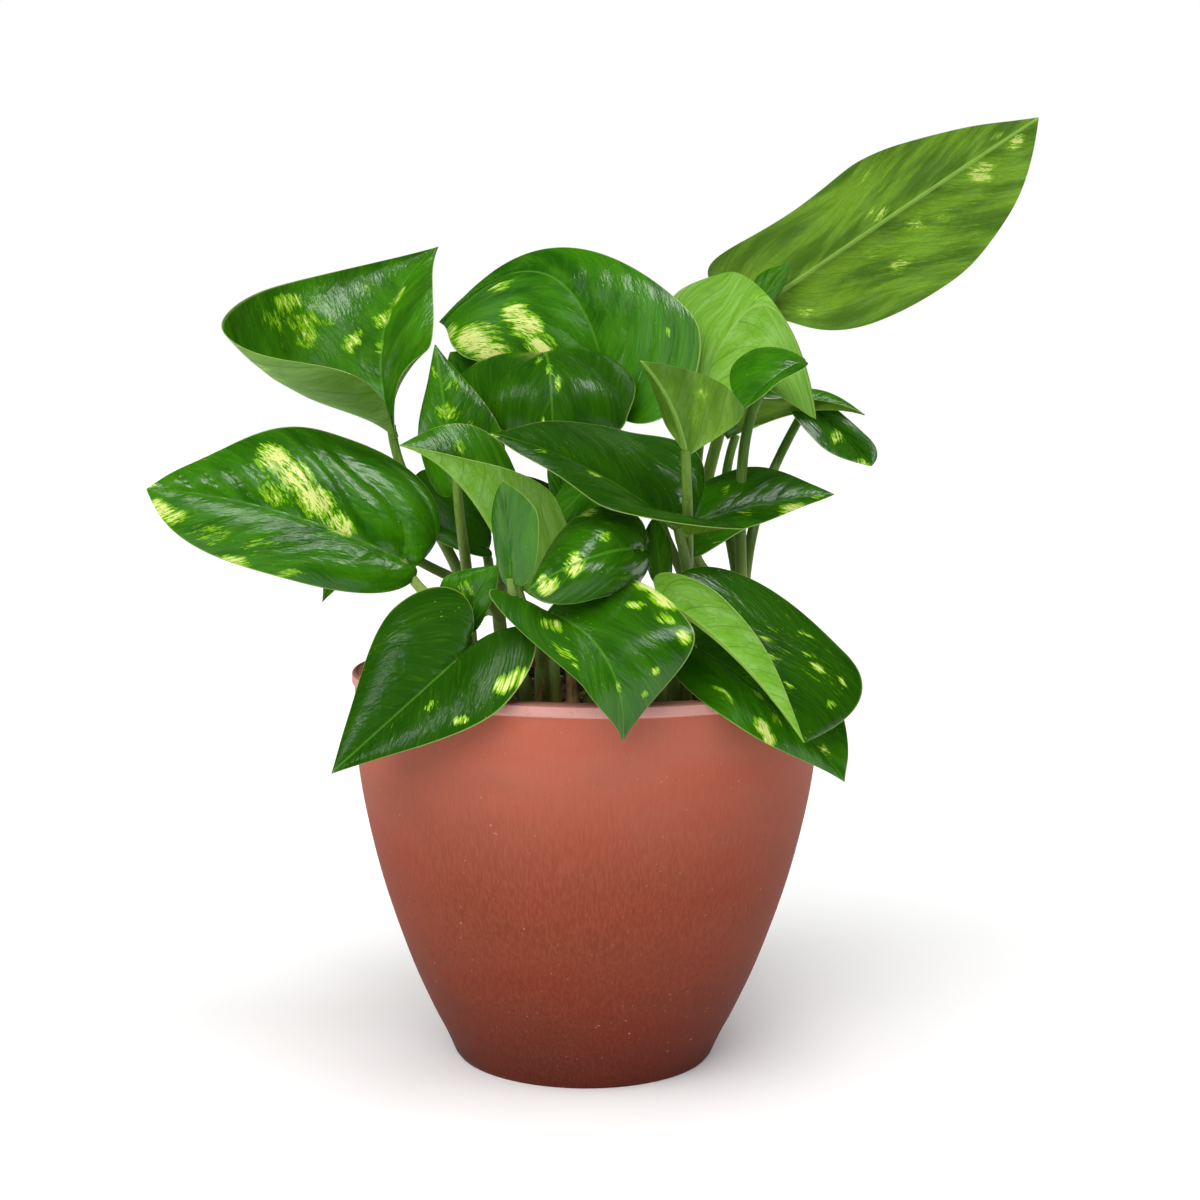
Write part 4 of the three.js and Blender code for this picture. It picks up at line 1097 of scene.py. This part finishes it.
def makeStalks(name):
    foot, top = cuttings[name]
    stem = smoothThrough([(*foot, stalk["stemFoot"]), (*foot, stalk["stemBend"]), top], 12)
    lines = [(stem, np.full(len(stem), stalk["stemRadius"]))]
    own = [leaf for leaf in leaves if leaf["on"] == name]
    for i, leaf in enumerate(own):
        up = stalk["firstLeaf"] + stalk["leafSpan"] * (i + 1) / len(own)
        path = petioleLine(leaf, stem[int(round(up * (len(stem) - 1)))])
        share = np.linspace(0, 1, len(path))
        radii = stalk["petioleFoot"] + (stalk["petioleTop"] - stalk["petioleFoot"]) * share
        lines.append((path, radii))
    return sweptPiece("stalks_" + name, lines, pothosStalk)


stalkPieces = {name: makeStalks(name) for name in cuttings}
print("stems and petioles are swept")


# Old growth at the front: foot, middle and top of each, with the radius at its foot and top.
oldGrowth = {
    "trimmedStems": [
        ((-21, -58, 132), (-22, -60, 150), (-27, -57, 171), 2.4, 1.8),
        ((-10, -60, 132), (-11, -62, 150), (-13, -58, 174), 2.2, 1.6),
        ((0, -58, 132), (1, -60, 148), (4, -56, 166), 2.0, 1.5),
        ((26, -62, 132), (27, -64, 148), (24, -61, 162), 2.2, 1.7),
        ((32, -59, 132), (32, -61, 148), (35, -56, 158), 2.0, 1.6),
    ],
    "airRoots": [
        ((-17, -69, 141), (-8, -66, 145), (3, -61, 151), 1.1, 0.8),
        ((10, -70, 137), (16, -68, 141), (24, -64, 143), 0.8, 0.6),
    ],
    "drySheaths": [
        ((-6, -65, 133), (-5, -67, 148), (-8, -64, 165), 3.2, 0.5),
        ((3, -66, 133), (4, -67, 142), (8, -65, 153), 2.2, 0.4),
        ((-15, -63, 133), (-17, -65, 143), (-15, -63, 154), 2.0, 0.4),
    ],
}


def huskMaterial():
    material, tree, shader = newMaterial("dryHusk")
    place = objectPlace(tree)
    lines = ramp(noise(place, 900, 3, 0.6, (1, 1, 0.08)), 0.4, 0.7, 0, 0.6)
    colour = coats((136, 94, 58), [
        (ramp(noise(place, 120, 3, 0.6), 0.3, 0.7), (206, 168, 122)),
        (lines, (70, 42, 24)),
    ])
    feed(shader, BaseColor=colour, Roughness=0.85, Normal=bump(lines, 0.0005, 0.8))
    return material


def growthLine(foot, middle, top, footRadius, topRadius):
    points = smoothThrough([foot, middle, top], 8)
    share = np.linspace(0, 1, len(points)) ** 1.5
    return points, footRadius + (topRadius - footRadius) * share


oldPieces = []
for name, rows in oldGrowth.items():
    finish = huskMaterial() if name == "drySheaths" else pothosStalk
    oldPieces.append(sweptPiece(name, [growthLine(*row) for row in rows], finish))
print("old growth is added")


def attach(piece, node):
    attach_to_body(piece, "root")
    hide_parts(node)


attach(terracottaPot, "pot")
for piece in [soilBed, *crumbs]:
    attach(piece, "potting_mix")
for name in cuttings:
    for piece in [*leafPieces[name], stalkPieces[name]]:
        attach(piece, "vine_" + name)
for piece in oldPieces:
    attach(piece, "vine_front")
